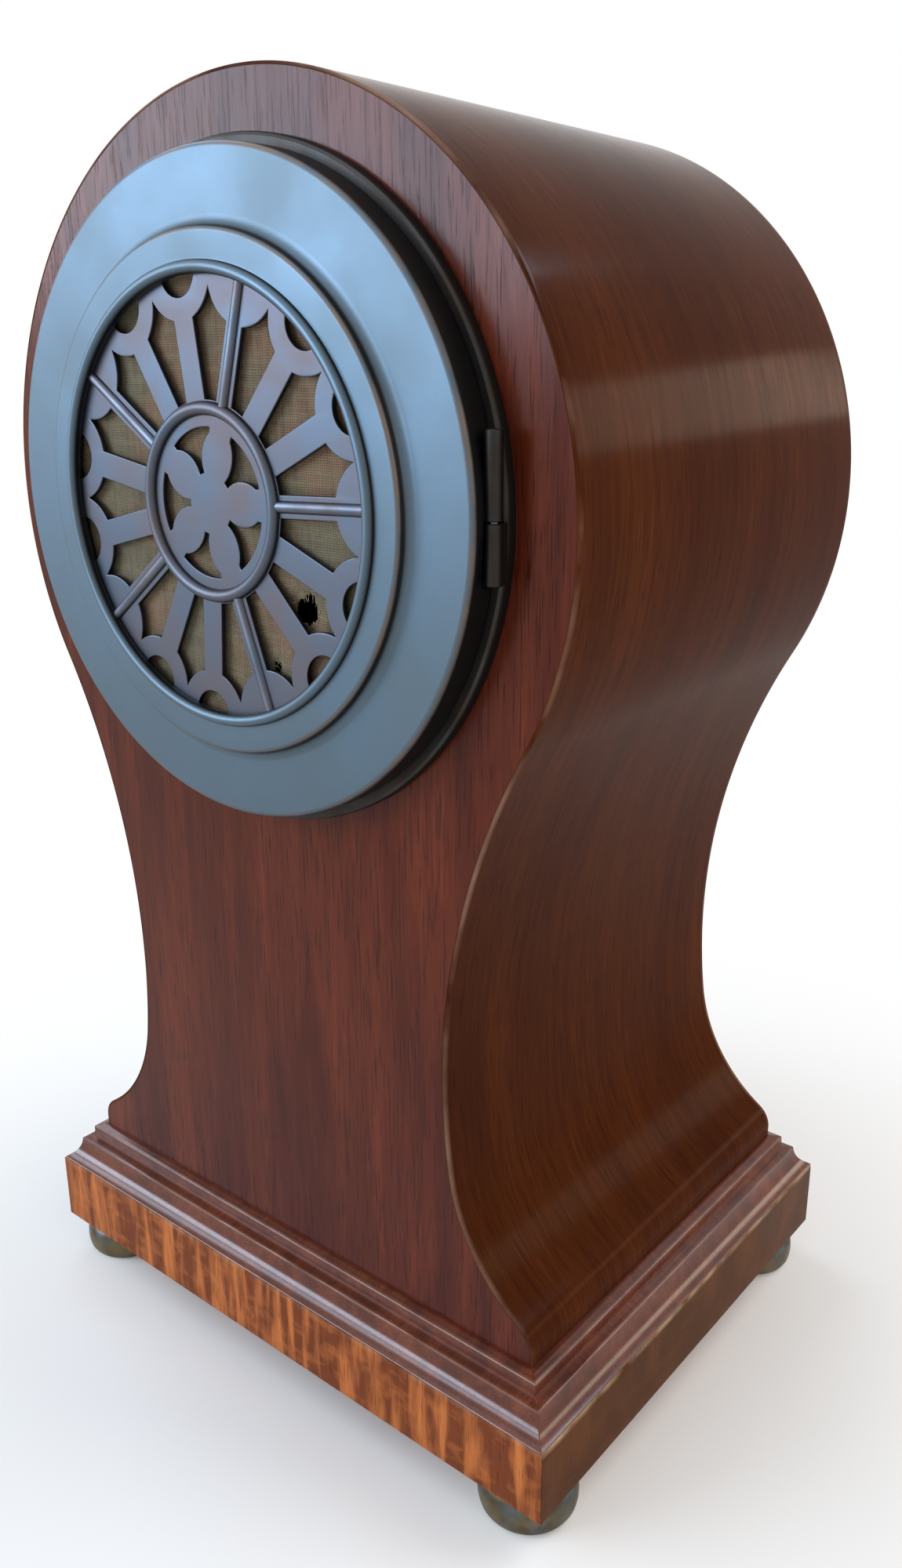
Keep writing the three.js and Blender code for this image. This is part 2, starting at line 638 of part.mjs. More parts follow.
function makeFront() {
  const sleeveR = FRONT_HOLE_R - GAP;
  const sleeveIn = sleeveR - BEZEL_SLEEVE_T;
  const ringProfile = [
    [BEZEL_RING_INNER_R, front(RING_T)],
    [BEZEL_RING_R, front(RING_T)],
    [BEZEL_RING_R, front(0)],
    [sleeveR, front(0)],
    [sleeveR, front(-BEZEL_SLEEVE_LENGTH)],
    [sleeveIn, front(-BEZEL_SLEEVE_LENGTH)],
    [sleeveIn, front(0)],
    [BEZEL_RING_INNER_R, front(0)],
    [BEZEL_RING_INNER_R, front(RING_T)],
  ];
  const hingeY = front(BEZEL_AXIS_H);
  const split = KNUCKLE_LENGTH / 2;
  const reach = 3 * split;
  const onHinge = (geometry) => geometry.translate(BEZEL_AXIS_X, hingeY, 0);
  const knuckle = (z0, z1) => onHinge(upright(KNUCKLE_R, z0, z1));
  const lug = (z0, z1) => box(BEZEL_RING_R - RING_T, BEZEL_AXIS_X, front(RING_T), front(GAP), z0, z1);
  const bore = onHinge(upright(HINGE_PIN_R + PIVOT_PLAY, -reach - OVERCUT, reach + OVERCUT));
  const fixed = [knuckle(split + GAP, reach), lug(split + GAP, reach), knuckle(-reach, -split - GAP)];
  const bezelRing = cut(join(turned(ringProfile), ...fixed, lug(-reach, -split - GAP)), bore);
  piece("bezel_ring", bezelRing, brass, 0, 0, CENTRE_Z);

  const bezelBack = RING_T + GAP;
  const seatR = GLASS_R + GAP;
  const bezelProfile = [
    [seatR, front(bezelBack)],
    [seatR, front(GLASS_SEAT_H)],
    [BEZEL_SIGHT_R, front(GLASS_SEAT_H)],
    [BEZEL_SIGHT_R, front(GLASS_SEAT_H + 1.3)],
    [BEZEL_SIGHT_R + 4.5, front(PROJECTION - 1)],
    [BEZEL_R - 8, front(PROJECTION)],
    [BEZEL_R - 4.5, front(PROJECTION - 0.8)],
    [BEZEL_R - 1.4, front(PROJECTION - 4)],
    [BEZEL_R, front(PROJECTION - 7.5)],
    [BEZEL_R, front(bezelBack)],
    [seatR, front(bezelBack)],
  ];
  const tongueFront = front(BEZEL_AXIS_H + TONGUE_RISE);
  const tongue = box(BEZEL_R - TAB_T, BEZEL_AXIS_X, tongueFront, front(bezelBack), -split, split);
  const tabBack = front(bezelBack);
  const tab = box(-BEZEL_R - TAB_REACH, TAB_T - BEZEL_R, tabBack - TAB_T, tabBack, -TAB_HALF, TAB_HALF);
  const bezel = cut(join(turned(bezelProfile), knuckle(-split, split), tongue, tab), bore);
  piece("bezel", bezel, brass, 0, 0, CENTRE_Z);
  piece("bezel_hinge_pin", upright(HINGE_PIN_R, -reach, reach), steel, BEZEL_AXIS_X, hingeY, CENTRE_Z);

  const glassFront = GLASS_SEAT_H - GAP;
  const dome = [];
  const domeSteps = 4;
  for (let i = 0; i <= domeSteps; i++) {
    const share = i / domeSteps;
    dome.push([share * GLASS_R, glassFront + GLASS_RISE * (1 - share ** 2)]);
  }
  const outside = dome.map(([r, d]) => [r, front(d)]);
  const inside = dome.map(([r, d]) => [r, front(d - GLASS_T)]).reverse();
  piece("glass", turned([...outside, ...inside]), glass, 0, 0, CENTRE_Z);
  const sightFront = glassFront - GLASS_T - GAP;
  const sightBack = front(sightFront - SIGHT_RING_T);
  const sightRing = ring(GLASS_R - SIGHT_RING_W, GLASS_R, front(sightFront), sightBack);
  piece("sight_ring", sightRing, brass, 0, 0, CENTRE_Z);

  const [windX, windZ] = BARREL_PLACE;
  const holes = [
    [0, 0, HOUR_PIPE_R + 2 * GAP],
    [windX, windZ, WINDING_HOLE_R],
    [-windX, windZ, WINDING_HOLE_R],
  ];
  const plate = slab(discShape(sleeveIn - GAP, holes), DIAL_Y, DIAL_Y + DIAL_T);
  const feet = [30, 150, 270].map((deg) =>
    rod(DIAL_FOOT_R, DIAL_Y + DIAL_T / 2, FRONT_PLATE_Y).translate(
      DIAL_FOOT_CIRCLE * cos(rad(deg)),
      0,
      DIAL_FOOT_CIRCLE * sin(rad(deg)),
    ),
  );
  piece("dial_plate", join(plate, ...feet), enamel, 0, 0, CENTRE_Z);
}

// Places in the movement, as [x, z] from the centre of the dial
const distance = (a, b) => ((a.teeth + b.teeth) * a.module) / 2;
const from = ([x, z], r, a) => [x + r * cos(a), z + r * sin(a)];
const bearing = (a, b) => atan2(b[1] - a[1], b[0] - a[0]);

function meeting(a, ra, b, rb) {
  const span = hypot(b[0] - a[0], b[1] - a[1]);
  const turn = acos((ra ** 2 + span ** 2 - rb ** 2) / (2 * ra * span));
  return from(a, ra, bearing(a, b) + turn);
}

const CENTRE = [0, 0];
const GOING_BARREL = BARREL_PLACE;
const STRIKE_BARREL = [-BARREL_PLACE[0], BARREL_PLACE[1]];
const FIRST_SPAN = distance(BARREL_GEAR, SECOND_PINION);
const SECOND = meeting(CENTRE, distance(SECOND_GEAR, CENTRE_PINION), GOING_BARREL, FIRST_SPAN);
const THIRD = from(CENTRE, distance(CENTRE_GEAR, THIRD_PINION), THIRD_BEARING);
const ESCAPE = [0, THIRD[1] + sqrt(distance(THIRD_GEAR, ESCAPE_PINION) ** 2 - THIRD[0] ** 2)];
const SPAN_HALF = (PALLET_SPAN * PI) / ESCAPE_TEETH;
const PALLET = [0, ESCAPE[1] + ESCAPE_R / cos(SPAN_HALF)];
const MINUTE = [0, -distance(CANNON_GEAR, MINUTE_GEAR)];
const STRIKE_SECOND = from(STRIKE_BARREL, FIRST_SPAN, STRIKE_BEARING);
const PIN_WHEEL = from(STRIKE_SECOND, distance(STRIKE_GEAR, PIN_PINION), -PI / 2);

// Tooth outline with one tooth on the line at angle a
function gearShape({ teeth, module }, a, window = null) {
  const pitchR = (teeth * module) / 2;
  const points = [];
  for (let k = 0; k < teeth; k++) {
    const turn = a + (2 * PI * k) / teeth;
    const half = PI / teeth;
    points.push(polar(pitchR + TIP * module, turn));
    points.push(polar(pitchR - ROOT * module, turn + half));
  }
  const shape = new THREE.Shape(points);
  if (window) cross(shape, window, pitchR - RIM_W);
  return shape;
}

// Four crossings leave a rim, four arms and a hub
function cross(shape, hub, rim) {
  for (let k = 0; k < 4; k++) {
    const edge = (r) => asin(ARM_HALF / r);
    const outer = arc(0, 0, rim, (k * PI) / 2 + edge(rim), ((k + 1) * PI) / 2 - edge(rim));
    const inner = arc(0, 0, hub, ((k + 1) * PI) / 2 - edge(hub), (k * PI) / 2 + edge(hub));
    shape.holes.push(new THREE.Path([...outer, ...inner]));
  }
}

const gapTo = (a, b, gear) => bearing(a, b) + PI / gear.teeth;

function arbor(r = ARBOR_R, pivot = PIVOT_R) {
  return turned([
    [0, FRONT_PLATE_Y],
    [pivot, FRONT_PLATE_Y],
    [pivot, TRAIN_FRONT + GAP],
    [r, TRAIN_FRONT + GAP],
    [r, TRAIN_BACK - GAP],
    [pivot, TRAIN_BACK - GAP],
    [pivot, BACK_PLATE_Y],
    [0, BACK_PLATE_Y],
  ]);
}

const at = ([x, z]) => [x, 0, CENTRE_Z + z];

// Depths of the wheels between the plates, from the front plate
const BARREL_Y = TRAIN_FRONT + 3;
const GREAT_Y = BARREL_Y + BARREL_LENGTH;
const SECOND_Y = GREAT_Y + 4.5;
const CENTRE_WHEEL_Y = SECOND_Y + 4.5;
const THIRD_WHEEL_Y = CENTRE_WHEEL_Y + 4;
const ESCAPE_Y = TRAIN_FRONT + 8;
const PIN_WHEEL_Y = CENTRE_WHEEL_Y - 3;
const HOLE_R = PIVOT_R + PIVOT_PLAY;

function makePlates() {
  const small = [SECOND, THIRD, ESCAPE, PALLET, STRIKE_SECOND, PIN_WHEEL, HAMMER_PLACE];
  const pivots = small.map(([x, z]) => [x, z, HOLE_R]);
  const winding = [GOING_BARREL, STRIKE_BARREL].map(([x, z]) => [x, z, WINDING_R + PIVOT_PLAY]);
  const frontHoles = [...pivots, ...winding, [0, 0, CENTRE_ARBOR_R + PIVOT_PLAY]];
  const plate = slab(discShape(PLATE_R, frontHoles), FRONT_PLATE_Y, TRAIN_FRONT);
  const postFront = FRONT_PLATE_Y - MOTION_GAP + POST_CLEAR;
  const minutePost = rod(PIVOT_R, postFront, TRAIN_FRONT).translate(MINUTE[0], 0, MINUTE[1]);
  piece("front_plate", join(plate, minutePost), brass, 0, 0, CENTRE_Z);
  const behind = small.map(([x, z], i) => [x, z, i === 3 || i === 6 ? ARBOR_R + PIVOT_PLAY : HOLE_R]);
  const backHoles = [...behind, ...winding, [0, 0, HOLE_R]];
  piece("back_plate", slab(discShape(PLATE_R, backHoles), TRAIN_BACK, BACK_PLATE_Y), brass, 0, 0, CENTRE_Z);
  const pillar = turned([
    [0, TRAIN_FRONT],
    [PILLAR_R, TRAIN_FRONT],
    [PILLAR_R, TRAIN_FRONT + 3],
    [0.75 * PILLAR_R, TRAIN_FRONT + 5],
    [0.75 * PILLAR_R, TRAIN_BACK - 5],
    [PILLAR_R, TRAIN_BACK - 3],
    [PILLAR_R, TRAIN_BACK],
    [0, TRAIN_BACK],
  ]);
  for (const [name, [x, z], side] of [
    ["pillar_upper_left", UPPER_PILLAR, -1],
    ["pillar_upper_right", UPPER_PILLAR, 1],
    ["pillar_lower_left", LOWER_PILLAR, -1],
    ["pillar_lower_right", LOWER_PILLAR, 1],
  ]) {
    piece(name, pillar, brass, ...at([side * x, z]));
  }
}

function barrel(greatY, gearAngle) {
  const drum = ring(WINDING_R + PIVOT_PLAY, BARREL_R, BARREL_Y, GREAT_Y);
  const shape = gearShape(BARREL_GEAR, gearAngle);
  shape.holes.push(new THREE.Path(circle(0, 0, WINDING_R + PIVOT_PLAY)));
  return join(drum, slab(shape, greatY, greatY + WHEEL_T + GAP));
}

function windingArbor() {
  const half = WINDING_SQUARE / 2;
  const shaft = rod(WINDING_R, FRONT_PLATE_Y - MOTION_GAP / 2, BACK_PLATE_Y);
  return join(shaft, box(-half, half, DIAL_Y + GAP, FRONT_PLATE_Y, -half, half));
}

function makeGoingTrain() {
  piece("going_barrel", barrel(GREAT_Y - GAP, bearing(GOING_BARREL, SECOND)), brass, ...at(GOING_BARREL));
  piece("going_winding_arbor", windingArbor(), steel, ...at(GOING_BARREL));
  const secondPinion = gearShape(SECOND_PINION, gapTo(SECOND, GOING_BARREL, SECOND_PINION));
  const secondWheel = gearShape(SECOND_GEAR, bearing(SECOND, CENTRE), WHEEL_HUB);
  const second = join(
    arbor(),
    slab(secondPinion, GREAT_Y - 1, GREAT_Y - 1 + PINION_L),
    slab(secondWheel, SECOND_Y, SECOND_Y + WHEEL_T),
  );
  piece("second_wheel", second, brass, ...at(SECOND));
  const stem = turned([
    [0, front(MINUTE_HAND_LIFT)],
    [CENTRE_PIVOT_R, front(MINUTE_HAND_LIFT)],
    [CENTRE_PIVOT_R, FRONT_PLATE_Y - GAP],
    [CENTRE_ARBOR_R, FRONT_PLATE_Y - GAP],
    [CENTRE_ARBOR_R, TRAIN_BACK - GAP],
    [PIVOT_R, TRAIN_BACK - GAP],
    [PIVOT_R, BACK_PLATE_Y],
    [0, BACK_PLATE_Y],
  ]);
  const centrePinion = gearShape(CENTRE_PINION, gapTo(CENTRE, SECOND, CENTRE_PINION));
  const centreWheel = gearShape(CENTRE_GEAR, bearing(CENTRE, THIRD), WHEEL_HUB);
  const centre = join(
    stem,
    slab(centrePinion, SECOND_Y - 1, SECOND_Y - 1 + PINION_L),
    slab(centreWheel, CENTRE_WHEEL_Y, CENTRE_WHEEL_Y + WHEEL_T),
  );
  piece("centre_wheel", centre, brass, ...at(CENTRE));
  const thirdPinion = gearShape(THIRD_PINION, gapTo(THIRD, CENTRE, THIRD_PINION));
  const thirdWheel = gearShape(THIRD_GEAR, bearing(THIRD, ESCAPE), WHEEL_HUB);
  const third = join(
    arbor(FINE_ARBOR_R),
    slab(thirdPinion, CENTRE_WHEEL_Y - 1, CENTRE_WHEEL_Y - 1 + PINION_L),
    slab(thirdWheel, THIRD_WHEEL_Y, THIRD_WHEEL_Y + WHEEL_T),
  );
  piece("third_wheel", third, brass, ...at(THIRD));
  const escapePinion = gearShape(ESCAPE_PINION, gapTo(ESCAPE, THIRD, ESCAPE_PINION));
  const toothPitch = (2 * PI) / ESCAPE_TEETH;
  const escapePoints = [];
  for (let k = 0; k < ESCAPE_TEETH; k++) {
    const turn = PI / 2 + SPAN_HALF + toothPitch * (k + 0.25);
    escapePoints.push(polar(ESCAPE_R, turn));
    escapePoints.push(polar(ESCAPE_R - ESCAPE_TOOTH, turn + toothPitch / 2));
  }
  const escapeShape = new THREE.Shape(escapePoints);
  cross(escapeShape, ESCAPE_HUB, ESCAPE_R - ESCAPE_TOOTH - ESCAPE_RIM);
  const escape = join(
    arbor(FINE_ARBOR_R),
    slab(escapePinion, THIRD_WHEEL_Y - 1, THIRD_WHEEL_Y - 1 + PINION_L),
    slab(escapeShape, ESCAPE_Y, ESCAPE_Y + WHEEL_T),
  );
  piece("escape_wheel", escape, brass, ...at(ESCAPE));
}

// Pallets: an anchor over the escape wheel, and a crutch behind the back plate
const CRUTCH_Y = BACK_PLATE_Y + CRUTCH_T;
const COCK_Y = BACK_PLATE_Y + COCK_STAND;
const SWING_Y = BACK_PLATE_Y + PENDULUM_STAND;

const SPRING_HALF = SPRING_W / 2;

// Room for the suspension spring in the block above it and the clamp below it
function springSlit(backEnd, z0, z1) {
  const half = SPRING_T / 2 + GAP;
  return box(-half, half, SWING_Y - SPRING_HALF - GAP, backEnd, z0, z1);
}

function makePallets() {
  const drop = PALLET[1] - ESCAPE[1];
  const nibR = ESCAPE_R + NIB_CLEAR;
  const local = (r, a) => new THREE.Vector2(r * sin(a), r * cos(a) - drop);
  const lean = NIB_HALF / nibR;
  const mirrored = ([x, z], side) => new THREE.Vector2(side * x, z);
  const anchor = new THREE.Shape([
    local(nibR, lean - SPAN_HALF),
    local(nibR + ARM_IN_RISE, ARM_IN_TURN - SPAN_HALF),
    mirrored(ANCHOR_UNDER, -1),
    mirrored(ANCHOR_UNDER, 1),
    local(nibR + ARM_IN_RISE, SPAN_HALF - ARM_IN_TURN),
    local(nibR, SPAN_HALF - lean),
    local(nibR, SPAN_HALF + lean),
    local(nibR + ARM_OUT_RISE, SPAN_HALF + ARM_OUT_TURN),
    mirrored(ANCHOR_OVER, 1),
    mirrored(ANCHOR_OVER, -1),
    local(nibR + ARM_OUT_RISE, -SPAN_HALF - ARM_OUT_TURN),
    local(nibR, -SPAN_HALF - lean),
  ]);
  const shaft = turned([
    [0, FRONT_PLATE_Y],
    [PIVOT_R, FRONT_PLATE_Y],
    [PIVOT_R, TRAIN_FRONT + GAP],
    [ARBOR_R, TRAIN_FRONT + GAP],
    [ARBOR_R, COCK_Y - GAP],
    [PIVOT_R, COCK_Y - GAP],
    [PIVOT_R, COCK_Y + COCK_T],
    [0, COCK_Y + COCK_T],
  ]);
  const crutchBack = CRUTCH_Y + CRUTCH_T;
  const crutchTop = PRONG_H - CRUTCH_REACH;
  const arm = box(-CRUTCH_HALF, CRUTCH_HALF, CRUTCH_Y, crutchBack, -CRUTCH_REACH, CRUTCH_HALF);
  const prongIn = ROD_R + GAP;
  const prongOut = prongIn + PRONG_W;
  const prongBack = SWING_Y + ROD_R + PRONG_W;
  const prong = box(prongIn, prongOut, CRUTCH_Y, prongBack, -CRUTCH_REACH, crutchTop);
  const otherProng = box(-prongOut, -prongIn, CRUTCH_Y, prongBack, -CRUTCH_REACH, crutchTop);
  const yoke = box(-prongOut, prongOut, CRUTCH_Y, crutchBack, -CRUTCH_REACH, crutchTop);
  const anchorBody = slab(anchor, ESCAPE_Y - ANCHOR_EXTRA, ESCAPE_Y + WHEEL_T + ANCHOR_EXTRA);
  piece("pallets", join(shaft, anchorBody, arm, yoke, prong, otherProng), steel, ...at(PALLET));

  const cockBack = COCK_Y + COCK_T;
  const bridge = box(-COCK_HALF, COCK_HALF, COCK_Y, cockBack, COCK_LOW, COCK_HIGH);
  const legIn = COCK_HALF - COCK_LEG_W;
  const leg = box(legIn, COCK_HALF, BACK_PLATE_Y, cockBack, COCK_LOW, COCK_HIGH);
  const otherLeg = box(-COCK_HALF, -legIn, BACK_PLATE_Y, cockBack, COCK_LOW, COCK_HIGH);
  const blockBack = SWING_Y + SPRING_HALF + 1;
  const block = box(-SPRING_BLOCK_HALF, SPRING_BLOCK_HALF, COCK_Y, blockBack, ...SPRING_BLOCK);
  const slit = springSlit(blockBack + OVERCUT, 0, COCK_HIGH);
  const pivotHole = rod(HOLE_R, COCK_Y - OVERCUT, COCK_Y + COCK_T + OVERCUT);
  piece("back_cock", cut(join(bridge, leg, otherLeg, block), slit, pivotHole), brass, ...at(PALLET));
}

function makePendulum() {
  const [x, z] = PALLET;
  const springHead = COCK_HIGH - SPRING_TUCK;
  const springFoot = CLAMP_TOP - CLAMP_GRIP;
  const springFront = SWING_Y - SPRING_HALF;
  const springBack = SWING_Y + SPRING_HALF;
  const spring = box(-SPRING_T / 2, SPRING_T / 2, springFront, springBack, springFoot, springHead);
  piece("pendulum_spring", spring, steel, ...at([x, z]));
  const bobZ = -PENDULUM;
  const nutTop = bobZ - BOB_R - GAP;
  const foot = nutTop - 2 * NUT_H;
  const clampFoot = CLAMP_TOP - CLAMP_H;
  const clamp = box(-CLAMP_HALF, CLAMP_HALF, springFront - 1, springBack + 1, clampFoot, CLAMP_TOP);
  const slit = springSlit(springBack + GAP, springFoot - GAP, CLAMP_TOP + OVERCUT);
  const shank = upright(ROD_R, nutTop, clampFoot + 1).translate(0, SWING_Y, 0);
  const thread = upright(THREAD_R, foot, nutTop + 1).translate(0, SWING_Y, 0);
  piece("pendulum_rod", cut(join(clamp, shank, thread), slit), steel, ...at([x, z]));
  const lens = [];
  const lensSteps = 6;
  for (let i = 0; i <= lensSteps; i++) {
    const a = -PI / 2 + (PI * i) / lensSteps;
    const r = i % lensSteps === 0 ? 0 : BOB_R * cos(a) ** BOB_FULLNESS;
    lens.push([r, SWING_Y + (BOB_T / 2) * sin(a)]);
  }
  const hole = upright(ROD_R + GAP, -BOB_R - OVERCUT, BOB_R + OVERCUT).translate(0, SWING_Y, 0);
  piece("pendulum_bob", cut(turned(lens), hole), brass, ...at([x, z + bobZ]));
  const nutBody = upright(NUT_R, -NUT_H, 0).translate(0, SWING_Y, 0);
  const nutBore = upright(THREAD_R + PIVOT_PLAY, -NUT_H - OVERCUT, OVERCUT).translate(0, SWING_Y, 0);
  piece("rating_nut", cut(nutBody, nutBore), brass, ...at([x, z + nutTop]));
}

// Motion work in front of the front plate, and the hands
function makeHands() {
  const low = FRONT_PLATE_Y - 1.1;
  const cannonPinion = gearShape(CANNON_GEAR, bearing(CENTRE, MINUTE));
  const pipe = rod(CANNON_R, front(MINUTE_HAND_LIFT + HAND_T), low);
  const bore = rod(CENTRE_PIVOT_R + PIVOT_PLAY, front(MINUTE_HAND_LIFT + HAND_T + OVERCUT), low + OVERCUT);
  const cannon = cut(join(pipe, slab(cannonPinion, low - 1.6, low)), bore);
  piece("cannon_pinion", cannon, steel, ...at(CENTRE));
  const wheel = slab(gearShape(MINUTE_GEAR, gapTo(MINUTE, CENTRE, MINUTE_GEAR)), low - 1.4, low - 0.2);
  const pinion = slab(gearShape(MINUTE_PINION, bearing(MINUTE, CENTRE)), low - 4.4, low - 0.8);
  const post = rod(HOLE_R, low - 6, low + 1);
  piece("minute_wheel", cut(join(wheel, pinion), post), brass, ...at(MINUTE));
  const hourY = low - 4.2;
  const hourGear = slab(gearShape(HOUR_GEAR, gapTo(CENTRE, MINUTE, HOUR_GEAR)), hourY, hourY + 1.2);
  const pipeEnd = HOUR_HAND_LIFT + HAND_T + GAP;
  const hourPipe = rod(HOUR_PIPE_R, front(pipeEnd), hourY + 1.2);
  const hourBore = rod(CANNON_R + 2 * PIVOT_PLAY, front(pipeEnd + OVERCUT), hourY + 1.2 + OVERCUT);
  piece("hour_wheel", cut(join(hourPipe, hourGear), hourBore), brass, ...at(CENTRE));

  piece("hour_hand", hand(HOUR_HAND, HOUR_BOSS, HOUR_PIPE_R, HOUR_HAND_LIFT), blued, ...at(CENTRE));
  piece("minute_hand", hand(MINUTE_HAND, MINUTE_BOSS, CANNON_R, MINUTE_HAND_LIFT), blued, ...at(CENTRE));
  const nutBack = front(MINUTE_HAND_LIFT + HAND_T + GAP);
  const nut = turned([
    [0, nutBack - HAND_NUT_T],
    [0.6 * HAND_NUT_R, nutBack - HAND_NUT_T],
    [HAND_NUT_R, nutBack - HAND_NUT_T / 3],
    [HAND_NUT_R, nutBack],
    [0, nutBack],
  ]);
  piece("hand_nut", nut, brass, ...at(CENTRE));
}

// A spade hand: boss, slim stem, heart-shaped spade and a fine point
function hand(length, boss, pipeR, lift) {
  const stem = 0.55;
  const spade = 0.115 * length;
  const shape = new THREE.Shape();
  shape.moveTo(stem, boss * 0.9);
  shape.lineTo(0.8 * stem, 0.6 * length);
  shape.quadraticCurveTo(1.5 * spade, 0.56 * length, spade, 0.72 * length);
  shape.quadraticCurveTo(0.5 * spade, 0.8 * length, 0.35 * stem, 0.86 * length);
  shape.lineTo(0.3, length);
  shape.lineTo(-0.3, length);
  shape.lineTo(-0.35 * stem, 0.86 * length);
  shape.quadraticCurveTo(-0.5 * spade, 0.8 * length, -spade, 0.72 * length);
  shape.quadraticCurveTo(-1.5 * spade, 0.56 * length, -0.8 * stem, 0.6 * length);
  shape.lineTo(-stem, boss * 0.9);
  const blade = slab(shape, front(lift + HAND_T), front(lift));
  const hub = ring(pipeR + PIVOT_PLAY, boss, front(lift + HAND_T), front(lift));
  return join(blade, hub);
}

function makeStrike() {
  const greatY = BARREL_Y - WHEEL_T;
  const strikeBarrel = barrel(greatY, bearing(STRIKE_BARREL, STRIKE_SECOND));
  piece("strike_barrel", strikeBarrel, brass, ...at(STRIKE_BARREL));
  piece("strike_winding_arbor", windingArbor(), steel, ...at(STRIKE_BARREL));
  const pinion = gearShape(SECOND_PINION, gapTo(STRIKE_SECOND, STRIKE_BARREL, SECOND_PINION));
  const wheel = gearShape(STRIKE_GEAR, bearing(STRIKE_SECOND, PIN_WHEEL), WHEEL_HUB);
  const wheelY = THIRD_WHEEL_Y + 1;
  const pinionY = greatY - 0.8;
  const second = join(
    arbor(),
    slab(pinion, pinionY, pinionY + PINION_L),
    slab(wheel, wheelY, wheelY + WHEEL_T),
  );
  piece("strike_second_wheel", second, brass, ...at(STRIKE_SECOND));
  const pinPinion = gearShape(PIN_PINION, gapTo(PIN_WHEEL, STRIKE_SECOND, PIN_PINION));
  const pins = [];
  for (let k = 0; k < PINS; k++) {
    const pinPlace = polar(PIN_CIRCLE, (2 * PI * k) / PINS);
    const pin = rod(PIN_R, PIN_WHEEL_Y - PIN_LENGTH, PIN_WHEEL_Y + WHEEL_T / 3);
    pins.push(pin.translate(pinPlace.x, 0, pinPlace.y));
  }
  const pinWheel = join(
    arbor(),
    slab(pinPinion, wheelY - 1, wheelY - 1 + PINION_L),
    slab(discShape(PIN_WHEEL_R), PIN_WHEEL_Y, PIN_WHEEL_Y + WHEEL_T),
    ...pins,
  );
  piece("pin_wheel", pinWheel, brass, ...at(PIN_WHEEL));
  makeHammer();
  makeGong();
}

function makeHammer() {
  const [x, z] = HAMMER_PLACE;
  const headGap = GONG_OUTER + GONG_WIRE_R + HAMMER_HEAD_R + 2 * GAP;
  const headX = GONG_X + headGap * cos(STRIKE_TURN) - x;
  const hammerBack = GONG_Y + 1.5 * HAMMER_ARM_R;
  const headZ = GONG_Z + headGap * sin(STRIKE_TURN) - CENTRE_Z - z;
  const shaft = turned([
    [0, FRONT_PLATE_Y],
    [PIVOT_R, FRONT_PLATE_Y],
    [PIVOT_R, TRAIN_FRONT + GAP],
    [ARBOR_R, TRAIN_FRONT + GAP],
    [ARBOR_R, hammerBack],
    [0, hammerBack],
  ]);
  const armLength = hypot(headX, headZ);
  const arm = upright(HAMMER_ARM_R, -armLength, 0).rotateY(atan2(-headX, -headZ)).translate(0, GONG_Y, 0);
  const head = turned([
    [0, -HAMMER_HEAD_L / 2],
    [HAMMER_HEAD_R, -HAMMER_HEAD_L / 2],
    [HAMMER_HEAD_R, HAMMER_HEAD_L / 2],
    [0, HAMMER_HEAD_L / 2],
  ]).translate(headX, GONG_Y, headZ);
  const tailReach = PIN_WHEEL[0] - x - PIN_CIRCLE - PIN_R - 1;
  const tailY = PIN_WHEEL_Y - PIN_LENGTH + GAP;
  const tail = box(0, tailReach, tailY, tailY + CRUTCH_T, -HAMMER_TAIL_HALF, HAMMER_TAIL_HALF);
  piece("hammer", join(shaft, arm, head, tail), steel, ...at(HAMMER_PLACE));
}

// Spiral gong on a post that stands on the base board
function makeGong() {
  const path = [];
  const wireSteps = GONG_TURNS * GONG_STEPS;
  const startTurn = PI;
  const endR = STUB_R + GAP;
  path.push(new THREE.Vector3(endR * cos(startTurn), 0, endR * sin(startTurn)));
  for (let i = 0; i <= wireSteps; i++) {
    const a = startTurn - (2 * PI * i) / GONG_STEPS;
    const r = GONG_INNER + ((GONG_OUTER - GONG_INNER) * i) / wireSteps;
    path.push(new THREE.Vector3(r * cos(a), 0, r * sin(a)));
  }
  let least = Infinity;
  path.forEach((p, i) => {
    path.slice(i + GONG_STEPS / 2).forEach((q) => {
      least = Math.min(least, p.distanceTo(q) - 2 * GONG_WIRE_R);
    });
  });
  console.log("gong: least gap between turns " + least.toFixed(2) + " mm");
  piece("gong", wireAlong(path, GONG_WIRE_R, GONG_SIDES), steel, GONG_X, GONG_Y, GONG_Z);
  const boardTop = BASE_Z + BOARD_T;
  const post = upright(POST_R, boardTop - GONG_Z, STUB_R + 2).translate(0, POST_BACK, 0);
  const stub = rod(STUB_R, -1.5 * GONG_WIRE_R, POST_BACK);
  piece("gong_post", join(post, stub), bronze, GONG_X, GONG_Y, GONG_Z);
}

